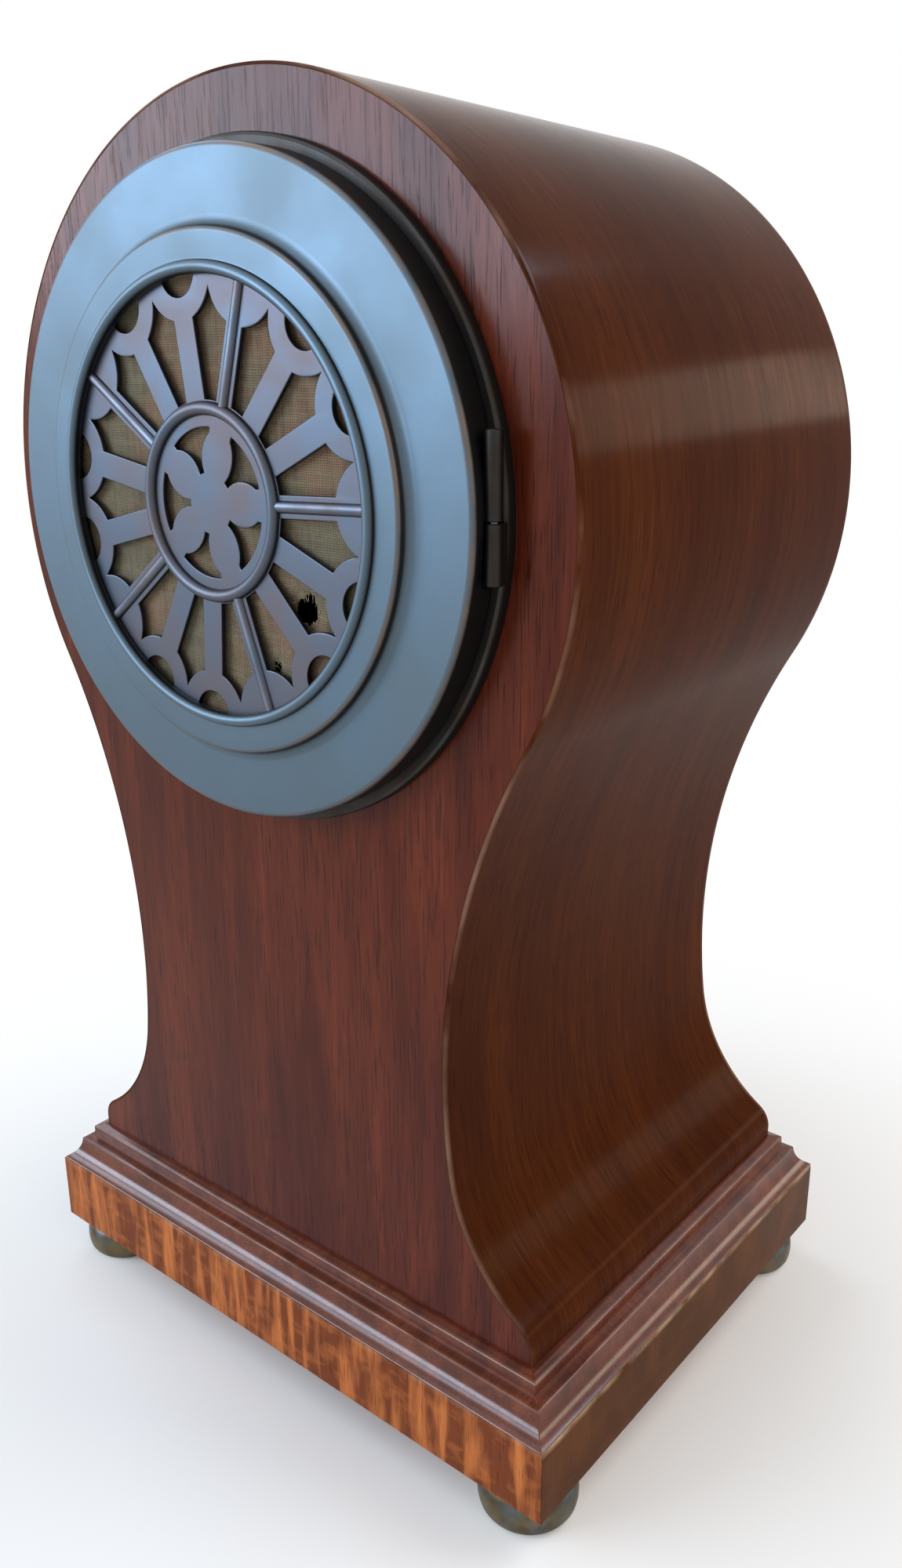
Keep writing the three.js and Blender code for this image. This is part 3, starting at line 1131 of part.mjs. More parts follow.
// A round wire through points that lie in one upright plane
function wireAlong(path, r, sides) {
  const position = [];
  const index = [];
  const normal = new THREE.Vector3(0, 1, 0);
  path.forEach((p, i) => {
    const ahead = path[Math.min(i + 1, path.length - 1)];
    const behind = path[Math.max(i - 1, 0)];
    const along = ahead.clone().sub(behind).normalize();
    const across = along.clone().cross(normal);
    for (let k = 0; k < sides; k++) {
      const a = (2 * PI * k) / sides;
      const q = p.clone().addScaledVector(across, r * cos(a)).addScaledVector(normal, r * sin(a));
      position.push(q.x, q.y, q.z);
    }
  });
  const last = path.length - 1;
  for (let i = 0; i < last; i++) {
    for (let k = 0; k < sides; k++) {
      const a = i * sides + k;
      const b = i * sides + ((k + 1) % sides);
      index.push(a, a + sides, b, b, a + sides, b + sides);
    }
  }
  for (let k = 1; k + 1 < sides; k++) {
    index.push(0, k, k + 1);
    index.push(last * sides, last * sides + k + 1, last * sides + k);
  }
  const geometry = new THREE.BufferGeometry();
  geometry.setAttribute("position", new THREE.Float32BufferAttribute(position, 3));
  return geometry.setIndex(index);
}

// Straps from the bezel ring to the back ring, with a screw through the back ring at each side
function makeStraps() {
  const frontEnd = front(-BEZEL_SLEEVE_LENGTH) + GAP;
  const backEnd = back(0) - GAP;
  const tapped = rod(SCREW_R + PIVOT_PLAY, backEnd - 2 * LUG_T, backEnd + OVERCUT).translate(SCREW_X, 0, 0);
  const strip = box(STRAP_X, STRAP_X + STRAP_T, frontEnd, backEnd, -STRAP_HALF, STRAP_HALF);
  const frontLug = box(STRAP_X, FRONT_HOLE_R, frontEnd, frontEnd + STRAP_T, -STRAP_HALF, STRAP_HALF);
  const lugEnd = SCREW_X + SCREW_R + 2 * GAP;
  const backLug = box(STRAP_X, lugEnd, backEnd - LUG_T, backEnd, -STRAP_HALF, STRAP_HALF);
  const strap = cut(join(strip, frontLug, backLug), tapped);
  piece("strap_right", strap, brass, 0, 0, CENTRE_Z);
  piece("strap_left", strap.clone().rotateY(PI), brass, 0, 0, CENTRE_Z);
  const headBack = back(RING_T);
  const screw = turned([
    [0, backEnd - LUG_T],
    [SCREW_R, backEnd - LUG_T],
    [SCREW_R, headBack],
    [SCREW_HEAD_R, headBack],
    [SCREW_HEAD_R, headBack + SCREW_HEAD_T],
    [0, headBack + SCREW_HEAD_T],
  ]);
  piece("strap_screw_right", screw, steel, SCREW_X, 0, CENTRE_Z);
  piece("strap_screw_left", screw, steel, -SCREW_X, 0, CENTRE_Z);
}

makeCase();
makePlinth();
makeBackDoor();
makeFront();
makePlates();
makeGoingTrain();
makePallets();
makePendulum();
makeHands();
makeStrike();
makeStraps();

export default clock;
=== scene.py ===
"""Balloon mantel clock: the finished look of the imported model, piece by piece."""
import json
import math
from math import acos, asin, atan2, cos, hypot, pi, radians, sin, sqrt

import bmesh
import bpy
from bpy.props import FloatProperty, FloatVectorProperty, IntProperty, PointerProperty
from mathutils import Euler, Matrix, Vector, noise


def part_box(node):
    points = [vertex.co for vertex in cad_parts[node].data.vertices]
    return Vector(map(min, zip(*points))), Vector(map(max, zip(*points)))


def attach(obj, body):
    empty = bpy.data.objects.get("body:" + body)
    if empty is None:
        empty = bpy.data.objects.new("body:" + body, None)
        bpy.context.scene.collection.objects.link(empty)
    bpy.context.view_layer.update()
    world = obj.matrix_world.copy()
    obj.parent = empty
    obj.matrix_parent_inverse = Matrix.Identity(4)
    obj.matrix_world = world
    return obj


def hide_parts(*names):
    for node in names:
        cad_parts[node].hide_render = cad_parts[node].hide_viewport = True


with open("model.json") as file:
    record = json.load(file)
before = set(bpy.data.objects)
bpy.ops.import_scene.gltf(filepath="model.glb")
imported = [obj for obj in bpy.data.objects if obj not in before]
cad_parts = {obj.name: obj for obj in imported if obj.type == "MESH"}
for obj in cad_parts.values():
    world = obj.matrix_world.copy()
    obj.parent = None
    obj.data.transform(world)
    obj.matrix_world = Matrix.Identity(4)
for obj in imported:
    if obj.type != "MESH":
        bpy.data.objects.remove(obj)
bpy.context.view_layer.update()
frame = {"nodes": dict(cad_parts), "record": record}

bl_info = {
    "name": "Balloon mantel clock",
    "version": (1, 0, 0),
    "blender": (4, 5, 0),
    "location": "3D View > Sidebar > Clock",
    "description": "Builds the finished look of a balloon mantel clock on its packed solids",
    "category": "Object",
}

MM = 0.001

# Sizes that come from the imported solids, in millimetres
HALF_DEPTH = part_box("back_panel")[1].y / MM
INNER_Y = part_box("back_panel")[0].y / MM
BASE_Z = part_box("back_panel")[0].z / MM
BLOCK_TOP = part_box("plinth_block")[1].z / MM
BLOCK_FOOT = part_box("plinth_block")[0].z / MM
BLOCK_HALF_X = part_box("plinth_block")[1].x / MM
BLOCK_HALF_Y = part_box("plinth_block")[1].y / MM
CENTRE_Z = sum(corner.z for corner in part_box("glass")) / 2 / MM


def linear(code):
    """An sRGB hex colour as linear RGBA."""
    channels = []
    for i in (0, 2, 4):
        value = int(code[i:i + 2], 16) / 255
        channels.append(value / 12.92 if value <= 0.04045 else ((value + 0.055) / 1.055) ** 2.4)
    return (*channels, 1.0)


def length_property(name, description, metres):
    """A length setting, in metres."""
    return FloatProperty(name=name, description=description, default=metres, unit="LENGTH",
                         subtype="DISTANCE", precision=5)


def colour_property(name, description, code):
    """A colour setting, from an sRGB hex colour."""
    return FloatVectorProperty(name=name, description=description, default=linear(code),
                               subtype="COLOR", size=4, min=0, max=1)


class ClockCaseSettings(bpy.types.PropertyGroup):
    """Sizes and colours of the case and plinth"""
    head_radius: length_property("Head radius", "Radius of the round head", 0.095)
    head_height: length_property("Head height", "Centre of the head above the floor",
                                 (CENTRE_Z - 2) * MM)
    waist_half: length_property("Waist", "Half the width at the waist", 0.059)
    waist_height: length_property("Waist height", "Narrowest place above the floor",
                                  (CENTRE_Z - 138.5) * MM)
    flare_radius: length_property("Flare", "Radius of the flare above the plinth", 0.05)
    lip_radius: length_property("Lip", "Radius where the flare turns down", 0.008)
    veneer: length_property("Veneer", "Edge of the side veneer that shows round a panel", 0.0008)
    overhang: length_property("Overhang", "How far the plinth stands out from the case", 0.011)
    panel_light: colour_property("Panel light", "Light figure of the panels", "6a2d18")
    panel_dark: colour_property("Panel dark", "Dark figure of the panels", "401309")
    side_light: colour_property("Side light", "Light figure of the sides", "562a10")
    side_dark: colour_property("Side dark", "Dark figure of the sides", "2f1005")
    ribbon_light: colour_property("Ribbon light", "Light stripes of the plinth", "c2703c")
    ribbon_dark: colour_property("Ribbon dark", "Dark stripes of the plinth", "6c3620")
    # painted shade: the plinth's short faces are darkened towards this tone
    ribbon_shaded_end: colour_property("Ribbon end", "Plainer leaf on the plinth's short faces", "48290b")
    moulding_light: colour_property("Moulding light", "Light mottle of the moulding", "7a3b21")
    moulding_dark: colour_property("Moulding dark", "Dark mottle of the moulding", "43190d")
    worn: colour_property("Worn wood", "Arrises where the polish has gone", "c49a80")


class ClockDoorSettings(bpy.types.PropertyGroup):
    """Sizes and colours of the back door"""
    spokes: IntProperty(name="Spokes", description="Bars of the fret", default=15, min=3)
    sight_radius: length_property("Sight radius", "Radius of the open part of the door", 0.05)
    fret_turn: FloatProperty(name="Fret turn", description="Angle of the first beaded bar",
                             default=radians(178.3), subtype="ANGLE")
    thread: length_property("Thread", "Spacing of the cloth's threads", 0.00055)
    # the blue in the slate of the door and the fret is partly patina and partly painted reflection of a blue
    # sky
    bronze: colour_property("Bronze", "Slate patina of the door", "566774")
    fret: colour_property("Fret", "Browner patina of the fret", "525c69")
    rubbed: colour_property("Rubbed bronze", "Edges rubbed brown", "75604e")
    cloth_brown: colour_property("Brown cloth", "Browned threads", "8a6c52")
    cloth_olive: colour_property("Olive cloth", "Faded threads", "736b52")


class ClockDialSettings(bpy.types.PropertyGroup):
    """Sizes and colours of the dial, hands, glass and movement"""
    glass_radius: length_property("Glass radius", "Radius of the glass", 0.06)
    dial_radius: length_property("Dial radius", "Radius of the dial", 0.0593)
    hour_hand: length_property("Hour hand", "Centre to tip", 0.031)
    minute_hand: length_property("Minute hand", "Centre to tip", 0.045)
    enamel: colour_property("Enamel", "White enamel of the dial", "efeadb")
    ink: colour_property("Ink", "Fired black of the numerals", "16151a")
    brass: colour_property("Brass", "Lacquered brass", "c2974d")
    blued: colour_property("Blued steel", "Heat-blued hands", "27345f")


class ClockStageSettings(bpy.types.PropertyGroup):
    """Floor, light and camera"""
    floor: colour_property("Floor", "Pale floor", "f5f1e9")
    daylight: colour_property("Daylight", "Cool light from the left", "cfe0f5")
    lamplight: colour_property("Lamplight", "Warm light from the right", "ffe9d2")
    lens: FloatProperty(name="Lens", description="Focal length of the camera in millimetres",
                        default=29.22, subtype="DISTANCE_CAMERA")


# Fixed sizes of the case and its round openings, in millimetres as all the sizes below
WALL = 7
LIP_RISE = 3.1
GAP = 0.3
HAIRLINE = 0.05
BACK_HOLE_R = 68
FRONT_HOLE_R = 62

# Back ring and door: radii, and heights above the back face
RING_R = 79.3
RING_BORE_R = 60
RING_T = 3
SPIGOT_BORE_R = 66
SPIGOT_DEEP = 9
DOOR_R = 76.7
DOOR_BORE_R = 74
DOOR_FOOT_H = RING_T + GAP
DOOR_STEP_R = 60
REBATE_R = 53
LEAF_R = REBATE_R - GAP
DOOR_FLAT_H = 10.7
PROJECTION = 15.5
BEAD_RISE = 1.6

# Fret, cloth and the ring that holds the cloth
FRET_FRONT_H = 12.6
FRET_T = 1.2
CLOTH_FRONT_H = 11.1
CLOTH_T = 0.4
RETAINER_FRONT_H = CLOTH_FRONT_H - CLOTH_T - GAP
RETAINER_T = 1.4
RETAINER_BORE_R = 48.2
BEADED_EVERY = 3
BEADED_BAR_HALF = 2.6
PLAIN_BAR_HALF = 3.3
BOSS_R = 23.1
BOSS_BORE_R = 19.9

# Hinge of the back door
HINGE_X = -77.6
HINGE_H = 5.2
HINGE_R = 1.9
HINGE_LOW = -12.5
HINGE_SPLIT = 0.5
HINGE_HIGH = 18.5

# Bezel, the ring that it closes on and the ring that holds its glass
BEZEL_RING_R = 73
BEZEL_RING_BORE_R = 56
BEZEL_SPIGOT_BORE_R = 59.6
BEZEL_SPIGOT_DEEP = 15.5
BEZEL_R = 74
BEZEL_BORE_R = 60.3
BEZEL_SIGHT_R = 58
SIGHT_RING_R = 60
SIGHT_RING_BORE_R = 56.5
BEZEL_KNUCKLE_R = 2

# Dial and hands
DIAL_T = 1.5
NUMERAL_H = 11
NUMERAL_FOOT_R = 36.5
TRACK_IN_R = 50.4
TRACK_OUT_R = 53.9
TRACK_LINE = 0.3
INK_T = 0.05
HAND_T = 1
HOUR_LIFT = 3.4
MINUTE_LIFT = 6.8

# Sides of a full turned circle
TURNED = 192


class Shape:
    """Points in millimetres and faces, with the wear and the grain place of each point."""

    def __init__(self):
        self.points = []
        self.faces = []
        self.wear = []
        self.grain = []

    def point(self, place, wear=0.0, grain=None):
        self.points.append(tuple(place))
        self.wear.append(wear)
        self.grain.append(tuple(grain or place))
        return len(self.points) - 1

    def bridge(self, a, b):
        """Quads between two rows of points, left out where they meet."""
        for i in range(len(a) - 1):
            quad = list(dict.fromkeys((a[i], a[i + 1], b[i + 1], b[i])))
            if len(quad) > 2:
                self.faces.append(quad)

    def take(self, other, move=(0, 0, 0)):
        """Adds another shape, moved."""
        start = len(self.points)
        self.points += [tuple(Vector(p) + Vector(move)) for p in other.points]
        self.wear += other.wear
        self.grain += other.grain
        self.faces += [[start + i for i in face] for face in other.faces]
        return self


def lathe(profile, segments=TURNED, upright=False):
    """Turns (radius, height, wear) points about the Y axis, or about the Z axis when upright."""
    shape = Shape()
    rows = []
    for radius, height, *wear in profile:
        if rows and (radius, height) == tuple(profile[0][:2]):
            rows.append(rows[0])
            continue
        row = []
        for i in range(1 if radius < 1e-6 else segments):
            a = 2 * pi * i / segments
            x, t = radius * cos(a), radius * sin(a)
            row.append(shape.point((x, t, height) if upright else (x, height, t), *wear))
        rows.append(row * segments + row[:1] if len(row) == 1 else row + row[:1])
    for a, b in zip(rows, rows[1:]):
        shape.bridge(a, b)
    return shape


def centred(shape):
    """A shape drawn about the dial's centre, moved up to it."""
    return Shape().take(shape, (0, 0, CENTRE_Z))


def rod(radius, low, high, segments=32, soft=0.25, upright=True):
    """A round bar with softened ends."""
    return lathe([(0, low), (radius - soft, low), (radius, low + soft), (radius, high - soft),
                  (radius - soft, high), (0, high)], segments, upright)


def block(low, high, soft=0.2):
    """A box with softened edges, from corner to corner."""
    made = bmesh.new()
    bmesh.ops.create_cube(made, size=1)
    for vert in made.verts:
        vert.co = [lo if c < 0 else hi for c, lo, hi in zip(vert.co, low, high)]
    bmesh.ops.bevel(made, geom=made.edges[:], offset=soft, segments=2, profile=0.5, affect="EDGES")
    return from_bmesh(made)


def from_bmesh(made):
    """The shape held in a bmesh, which is freed."""
    shape = Shape()
    for vert in made.verts:
        vert.index = shape.point(vert.co)
    shape.faces = [[vert.index for vert in face.verts] for face in made.faces]
    made.free()
    return shape


def plate(outline, holes, y0, y1):
    """A flat piece from closed (x, z) loops, filling the depth from y0 to y1."""
    made = bmesh.new()
    sides = []
    for y in (y0, y1):
        edges = []
        rows = []
        for loop in (outline, *holes):
            verts = [made.verts.new((x, y, z)) for x, z in loop]
            edges += [made.edges.new((v, verts[(i + 1) % len(verts)])) for i, v in enumerate(verts)]
            rows.append(verts)
        bmesh.ops.triangle_fill(made, use_beauty=True, use_dissolve=False, edges=edges)
        sides.append(rows)
    for low, high in zip(*sides):
        for i in range(len(low)):
            j = (i + 1) % len(low)
            made.faces.new((low[i], low[j], high[j], high[i]))
    made.verts.index_update()
    return from_bmesh(made)


def circle(x, z, radius, count=TURNED):
    """A closed (x, z) loop."""
    return [(x + radius * cos(2 * pi * i / count), z + radius * sin(2 * pi * i / count))
            for i in range(count)]


def arc(x, z, radius, start, end, step=1.5):
    """(x, z) points along an arc, about a step apart."""
    count = max(2, math.ceil(abs(end - start) * radius / step))
    turns = [start + (end - start) * i / count for i in range(count + 1)]
    return [(x + radius * cos(a), z + radius * sin(a)) for a in turns]


def link(name, data):
    """A new object in the scene."""
    made = bpy.data.objects.new(name, data)
    bpy.context.scene.collection.objects.link(made)
    return made


def piece(name, shape, material, body, slot, *nodes, sharp=32):
    """A finished piece that rides on a body and stands for CAD nodes."""
    mesh = bpy.data.meshes.new(name)
    mesh.from_pydata([[c * MM for c in p] for p in shape.points], [], shape.faces)
    wear = mesh.attributes.new("wear", "FLOAT", "POINT")
    wear.data.foreach_set("value", shape.wear)
    grain = mesh.attributes.new("grain", "FLOAT_VECTOR", "POINT")
    grain.data.foreach_set("vector", [c * MM for p in shape.grain for c in p])
    made = bmesh.new()
    made.from_mesh(mesh)
    bmesh.ops.recalc_face_normals(made, faces=made.faces[:])
    made.to_mesh(mesh)
    made.free()
    return settle(link(name, mesh), material, body, nodes, sharp)


def settle(made, material, body, nodes=(), sharp=32):
    """Gives a piece its material and shading, and puts it on its body."""
    mesh = made.data
    mesh.materials.clear()
    mesh.materials.append(material)
    mesh.polygons.foreach_set("use_smooth", [True] * len(mesh.polygons))
    mesh.set_sharp_from_angle(angle=radians(sharp))
    if "flat faces" not in made.modifiers:
        flat = made.modifiers.new("flat faces", "WEIGHTED_NORMAL")
        flat.keep_sharp = True
    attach(made, body)
    if nodes:
        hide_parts(*nodes)
    return made


def cut(made, tool):
    """Cuts a shape out of a piece."""
    mesh = bpy.data.meshes.new("cutter")
    mesh.from_pydata([[c * MM for c in p] for p in tool.points], [], tool.faces)
    cutter = link("cutter", mesh)
    modifier = made.modifiers.new("cut", "BOOLEAN")
    modifier.operation = "DIFFERENCE"
    modifier.solver = "EXACT"
    modifier.object = cutter
    bpy.context.view_layer.update()
    whole = made.evaluated_get(bpy.context.evaluated_depsgraph_get())
    result = bpy.data.meshes.new_from_object(whole)
    made.modifiers.clear()
    made.data = result
    bpy.data.objects.remove(cutter)
    if not result.polygons:
        raise RuntimeError(f"{made.name} was cut away")


def pressed(loops, thickness, soft, front):
    """Closed (x, z) loops as a pierced sheet with softened edges; front is the outer face's y."""
    curve = bpy.data.curves.new("pressed", "CURVE")
    curve.dimensions = "2D"
    curve.fill_mode = "BOTH"
    curve.extrude = (thickness / 2 - soft) * MM
    curve.bevel_depth = soft * MM
    curve.bevel_resolution = 2
    curve.offset = -soft * MM
    for loop in loops:
        spline = curve.splines.new("POLY")
        spline.points.add(len(loop) - 1)
        spline.points.foreach_set("co", [c for x, z in loop for c in (x * MM, z * MM, 0, 1)])
        spline.use_cyclic_u = True
    drawn = link("pressed", curve)
    bpy.context.view_layer.update()
    mesh = bpy.data.meshes.new_from_object(drawn.evaluated_get(bpy.context.evaluated_depsgraph_get()))
    bpy.data.objects.remove(drawn)
    made = bmesh.new()
    made.from_mesh(mesh)
    bmesh.ops.remove_doubles(made, verts=made.verts[:], dist=1e-6)
    bpy.data.meshes.remove(mesh)
    middle = front - thickness / 2 if front > 0 else front + thickness / 2
    for vert in made.verts:
        x, z, up = vert.co / MM
        vert.co = (x, middle - up, z)
    return from_bmesh(made)


def fill(tree, node, inputs):
    """Sets or links inputs of a node, by name or number."""
    for key, value in inputs.items():
        if isinstance(key, int):
            socket = node.inputs[key]
        else:
            socket = next(s for s in node.inputs if s.enabled and s.name == key)
        if isinstance(value, bpy.types.Node):
            value = next(s for s in value.outputs if s.enabled)
        if isinstance(value, bpy.types.NodeSocket):
            tree.links.new(value, socket)
        else:
            socket.default_value = value


def add(tree, kind, inputs=None, **settings):
    """Adds a shader node with its settings, and sets or links its inputs."""
    made = tree.nodes.new("ShaderNode" + kind)
    for key, value in settings.items():
        setattr(made, key, value)
    fill(tree, made, inputs or {})
    return made


def surface(name, settings):
    """A material with one Principled surface; the settings hold all over it."""
    material = bpy.data.materials.new(name)
    material.use_nodes = True
    tree = material.node_tree
    tree.nodes.clear()
    shader = add(tree, "BsdfPrincipled", settings)
    add(tree, "OutputMaterial", {"Surface": shader})
    return material, tree, shader


def lay(tree, place, colour, layers):
    """Lays one colour after another over the first, each where its own noise rises from low to high.
    A layer is (colour, size in millimetres, stretch of each axis, detail, low, high, most)."""
    patterns = []
    for tone, size, stretch, detail, low, high, most in layers:
        sized = add(tree, "Mapping", {"Vector": place, "Scale": [1 / (size * MM * s) for s in stretch]})
        pattern = add(tree, "TexNoise", {"Vector": sized, "Scale": 1.0, "Detail": detail, "Distortion": 0.3})
        share = add(tree, "MapRange", {"Value": pattern, "From Min": low, "From Max": high, "To Max": most})
        colour = add(tree, "Mix", {"Factor": share, "A": colour, "B": tone}, data_type="RGBA")
        patterns.append(pattern)
    return colour, patterns


def rub(tree, colour, bare, size, low, high, most):
    """Bares the edges, in ragged stretches of about the size in millimetres."""
    place = add(tree, "TexCoord").outputs["Object"]
    ragged = add(tree, "TexNoise", {"Vector": place, "Scale": 1 / (size * MM), "Detail": 4.0})
    stretch = add(tree, "MapRange", {"Value": ragged, "From Min": low, "From Max": high, "To Max": most})
    edge = add(tree, "Attribute", attribute_name="wear").outputs["Fac"]
    share = add(tree, "Math", {0: edge, 1: stretch}, operation="MULTIPLY")
    return add(tree, "Mix", {"Factor": share, "A": colour, "B": bare}, data_type="RGBA")


def toned(colour, share):
    """A colour made darker, or lighter by a share over 1."""
    return [c * share for c in colour[:3]] + [1]


def tones(settings, *names):
    """Colours from a group of settings."""
    return [list(getattr(settings, name)) for name in names]


# A pattern that is stretched along no axis
ROUND = (1, 1, 1)
# Depth of pores, specks and turning lines, in metres
FINE_RELIEF = 0.00005


def mahogany(name, light, dark, bare, source, figure, gloss, rubbing):
    """Mahogany veneer, French polished: a thin clear gloss over reddish figure that is nine times as long
    as wide, with fine streaks and short dark pores that run along the grain. source is Object for a flat
    board, or grain where the veneer is laid round a shape. figure is (size, depth), gloss is (specular
    level, roughness, how open the grain is), and rubbing is what rub takes."""
    size, depth = figure
    level, smooth, openness = gloss
    material, tree, shader = surface(name, {"Specular IOR Level": level})
    if source == "grain":
        place = add(tree, "Attribute", attribute_name="grain").outputs["Vector"]
    else:
        place = add(tree, "TexCoord").outputs["Object"]
    colour, (_, _, streaks, pores, _) = lay(tree, place, light, (
        (toned(light, 1.45), 1.4, (1, 1, 9), 2, 0.54, 0.72, 0.55),
        (dark, size, (1, 1, 9), 4, 0.36, 0.66, depth),
        (dark, 2.2, (1, 1, 26), 3, 0.42, 0.68, 0.35),
        # pores are about 0.25 mm wide, and drawn at 0.45 mm so that they show
        (toned(dark, 0.35), 0.45, (1, 1, 24), 2, 0.53, 0.68, 0.4 + 0.7 * openness),
        (dark, 60, (1, 1, 2), 2, 0.35, 0.7, 0.5)))
    colour = rub(tree, colour, bare, *rubbing)
    rough = add(tree, "MapRange", {"Value": streaks, "From Min": 0.3, "From Max": 0.7,
                                   "To Min": smooth, "To Max": 1.4 * smooth})
    sunk = add(tree, "MapRange", {"Value": pores, "From Min": 0.57, "From Max": 0.68, "To Min": 1.0,
                                  "To Max": 0.0})
    bump = add(tree, "Bump", {"Strength": openness, "Distance": FINE_RELIEF, "Height": sunk})
    fill(tree, shader, {"Base Color": colour, "Roughness": rough, "Normal": bump})
    return material


def ribbon_mahogany(name, light, dark, end, bare):
    """Quarter-cut mahogany, polished: upright stripes about 5 mm wide that swap from orange to dark on
    the long faces and are broken by a faint ripple; the short faces are mixed to a plainer, darker brown, as
    painted shade."""
    material, tree, shader = surface(name, {"Specular IOR Level": 0.03})
    spot = add(tree, "TexCoord")
    place = spot.outputs["Object"]
    colour, (_, streaks, _, pores) = lay(tree, place, light, (
        (dark, 4.4, (1, 4, 7), 2, 0.33, 0.56, 0.92),
        (dark, 1.4, (1, 1, 18), 3, 0.42, 0.7, 0.4),
        (light, 4, (1.6, 3, 0.9), 2, 0.5, 0.74, 0.45),
        (toned(dark, 0.4), 0.5, (1, 1, 14), 1, 0.58, 0.7, 0.45)))
    # painted shade: faces that look along X are turned to the darker, browner tone
    facing = add(tree, "SeparateXYZ", {"Vector": spot.outputs["Normal"]})
    sideways = add(tree, "Math", {0: facing.outputs["X"]}, operation="ABSOLUTE")
    share = add(tree, "MapRange", {"Value": sideways, "From Min": 0.6, "From Max": 0.8, "To Max": 0.88})
    colour = add(tree, "Mix", {"Factor": share, "A": colour, "B": end}, data_type="RGBA")
    colour = rub(tree, colour, bare, 11, 0.34, 0.62, 0.55)
    rough = add(tree, "MapRange", {"Value": streaks, "From Min": 0.3, "From Max": 0.7,
                                   "To Min": 0.16, "To Max": 0.26})
    bump = add(tree, "Bump", {"Strength": 0.15, "Distance": FINE_RELIEF, "Height": pores})
    fill(tree, shader, {"Base Color": colour, "Roughness": rough, "Normal": bump})
    return material


def metal(name, base, other, bare, roughness, mottle, rings=0.0, wall_shade=0.0):
    """Cast or turned metal: its colour drifts between two tones over the mottle's size, its edges are
    rubbed to a third, and it is duller where it is darker. rings is the spacing of turning lines, and
    wall_shade is how far painted shade darkens the faces that stand square to the back, towards near black."""
    material, tree, shader = surface(name, {"Metallic": 1.0})
    spot = add(tree, "TexCoord")
    place = spot.outputs["Object"]
    colour, (clouds, specks) = lay(tree, place, base, (
        (other, mottle, ROUND, 4, 0.36, 0.64, 1.0),
        (other, 0.9, ROUND, 3, 0.5, 0.75, 0.4)))
    # painted shade: faces that stand square to the back are darkened towards near black, the more the steeper
    # they stand
    if wall_shade:
        facing = add(tree, "SeparateXYZ", {"Vector": spot.outputs["Normal"]})
        flat = add(tree, "Math", {0: facing.outputs["Y"]}, operation="ABSOLUTE")
        share = add(tree, "MapRange", {"Value": flat, "From Min": 0.2, "From Max": 0.88, "To Min": wall_shade,
                                       "To Max": 0.0})
        colour = add(tree, "Mix", {"Factor": share, "A": colour, "B": linear("241d19")}, data_type="RGBA")
    colour = rub(tree, colour, bare, 9, 0.3, 0.62, 0.8)
    rough = add(tree, "MapRange", {"Value": clouds, "From Min": 0.3, "From Max": 0.7,
                                   "To Min": roughness - 0.03, "To Max": roughness + 0.05})
    height = specks
    if rings:
        centred = add(tree, "Mapping", {"Vector": place, "Location": (0, 0, -CENTRE_Z * MM)})
        # a wave repeats every tenth of pi, so this gives one line for each spacing
        lines = add(tree, "TexWave", {"Vector": centred, "Scale": pi / 10 / (rings * MM),
                                      "Distortion": 1.0}, wave_type="RINGS", rings_direction="Y")
        height = add(tree, "Math", {0: specks, 1: lines.outputs["Fac"]}, operation="ADD")
    bump = add(tree, "Bump", {"Strength": 0.12, "Distance": FINE_RELIEF, "Height": height})
    fill(tree, shader, {"Base Color": colour, "Roughness": rough, "Normal": bump})
    return material


def linen(name, brown, olive, thread):
    """Old linen in plain weave, browned in patches: each thread shows where it passes over the next,
    some thicker than others, with painted shade in the gaps at the crossings."""
    material, tree, shader = surface(name, {
        "Roughness": 0.95, "Specular IOR Level": 0.1, "Sheen Weight": 0.1, "Sheen Roughness": 0.6})
    place = add(tree, "TexCoord").outputs["Object"]
    wander = add(tree, "TexNoise", {"Vector": place, "Scale": 110.0, "Detail": 3.0})
    moved = add(tree, "VectorMath", {0: wander.outputs["Color"], 1: (2 * thread,) * 3, 2: place},
                operation="MULTIPLY_ADD")
    count = add(tree, "VectorMath", {0: moved, 1: (1 / thread,) * 3}, operation="MULTIPLY")
    axes = add(tree, "SeparateXYZ", {"Vector": count})
    across = [add(tree, "Math", {0: axes.outputs[axis], 1: 0.5}, operation="PINGPONG") for axis in "XZ"]
    flat = add(tree, "CombineXYZ", {"X": axes.outputs["X"], "Y": 0.5, "Z": axes.outputs["Z"]})
    over = add(tree, "TexChecker", {"Vector": flat, "Scale": 1.0}).outputs["Fac"]
    profile = add(tree, "Mix", {"Factor": over, "A": across[0], "B": across[1]}, data_type="FLOAT")
    colour, _ = lay(tree, place, brown, (
        (olive, 24, ROUND, 3, 0.42, 0.58, 1.0),
        (toned(brown, 0.45), 1.3, (1, 1, 9), 2, 0.42, 0.7, 0.55),
        (toned(olive, 1.5), 1.3, (9, 1, 1), 2, 0.45, 0.75, 0.5)))
    # painted shade: the gaps between the threads go nearly black
    gap = add(tree, "MapRange", {"Value": profile, "From Min": 0.04, "From Max": 0.26, "To Min": 0.92,
                                 "To Max": 0.0})
    colour = add(tree, "Mix", {"Factor": gap, "A": colour, "B": toned(brown, 0.1)}, data_type="RGBA")
    bump = add(tree, "Bump", {"Strength": 0.8, "Distance": 0.00025, "Height": profile})
    fill(tree, shader, {"Base Color": colour, "Normal": bump})
    return material


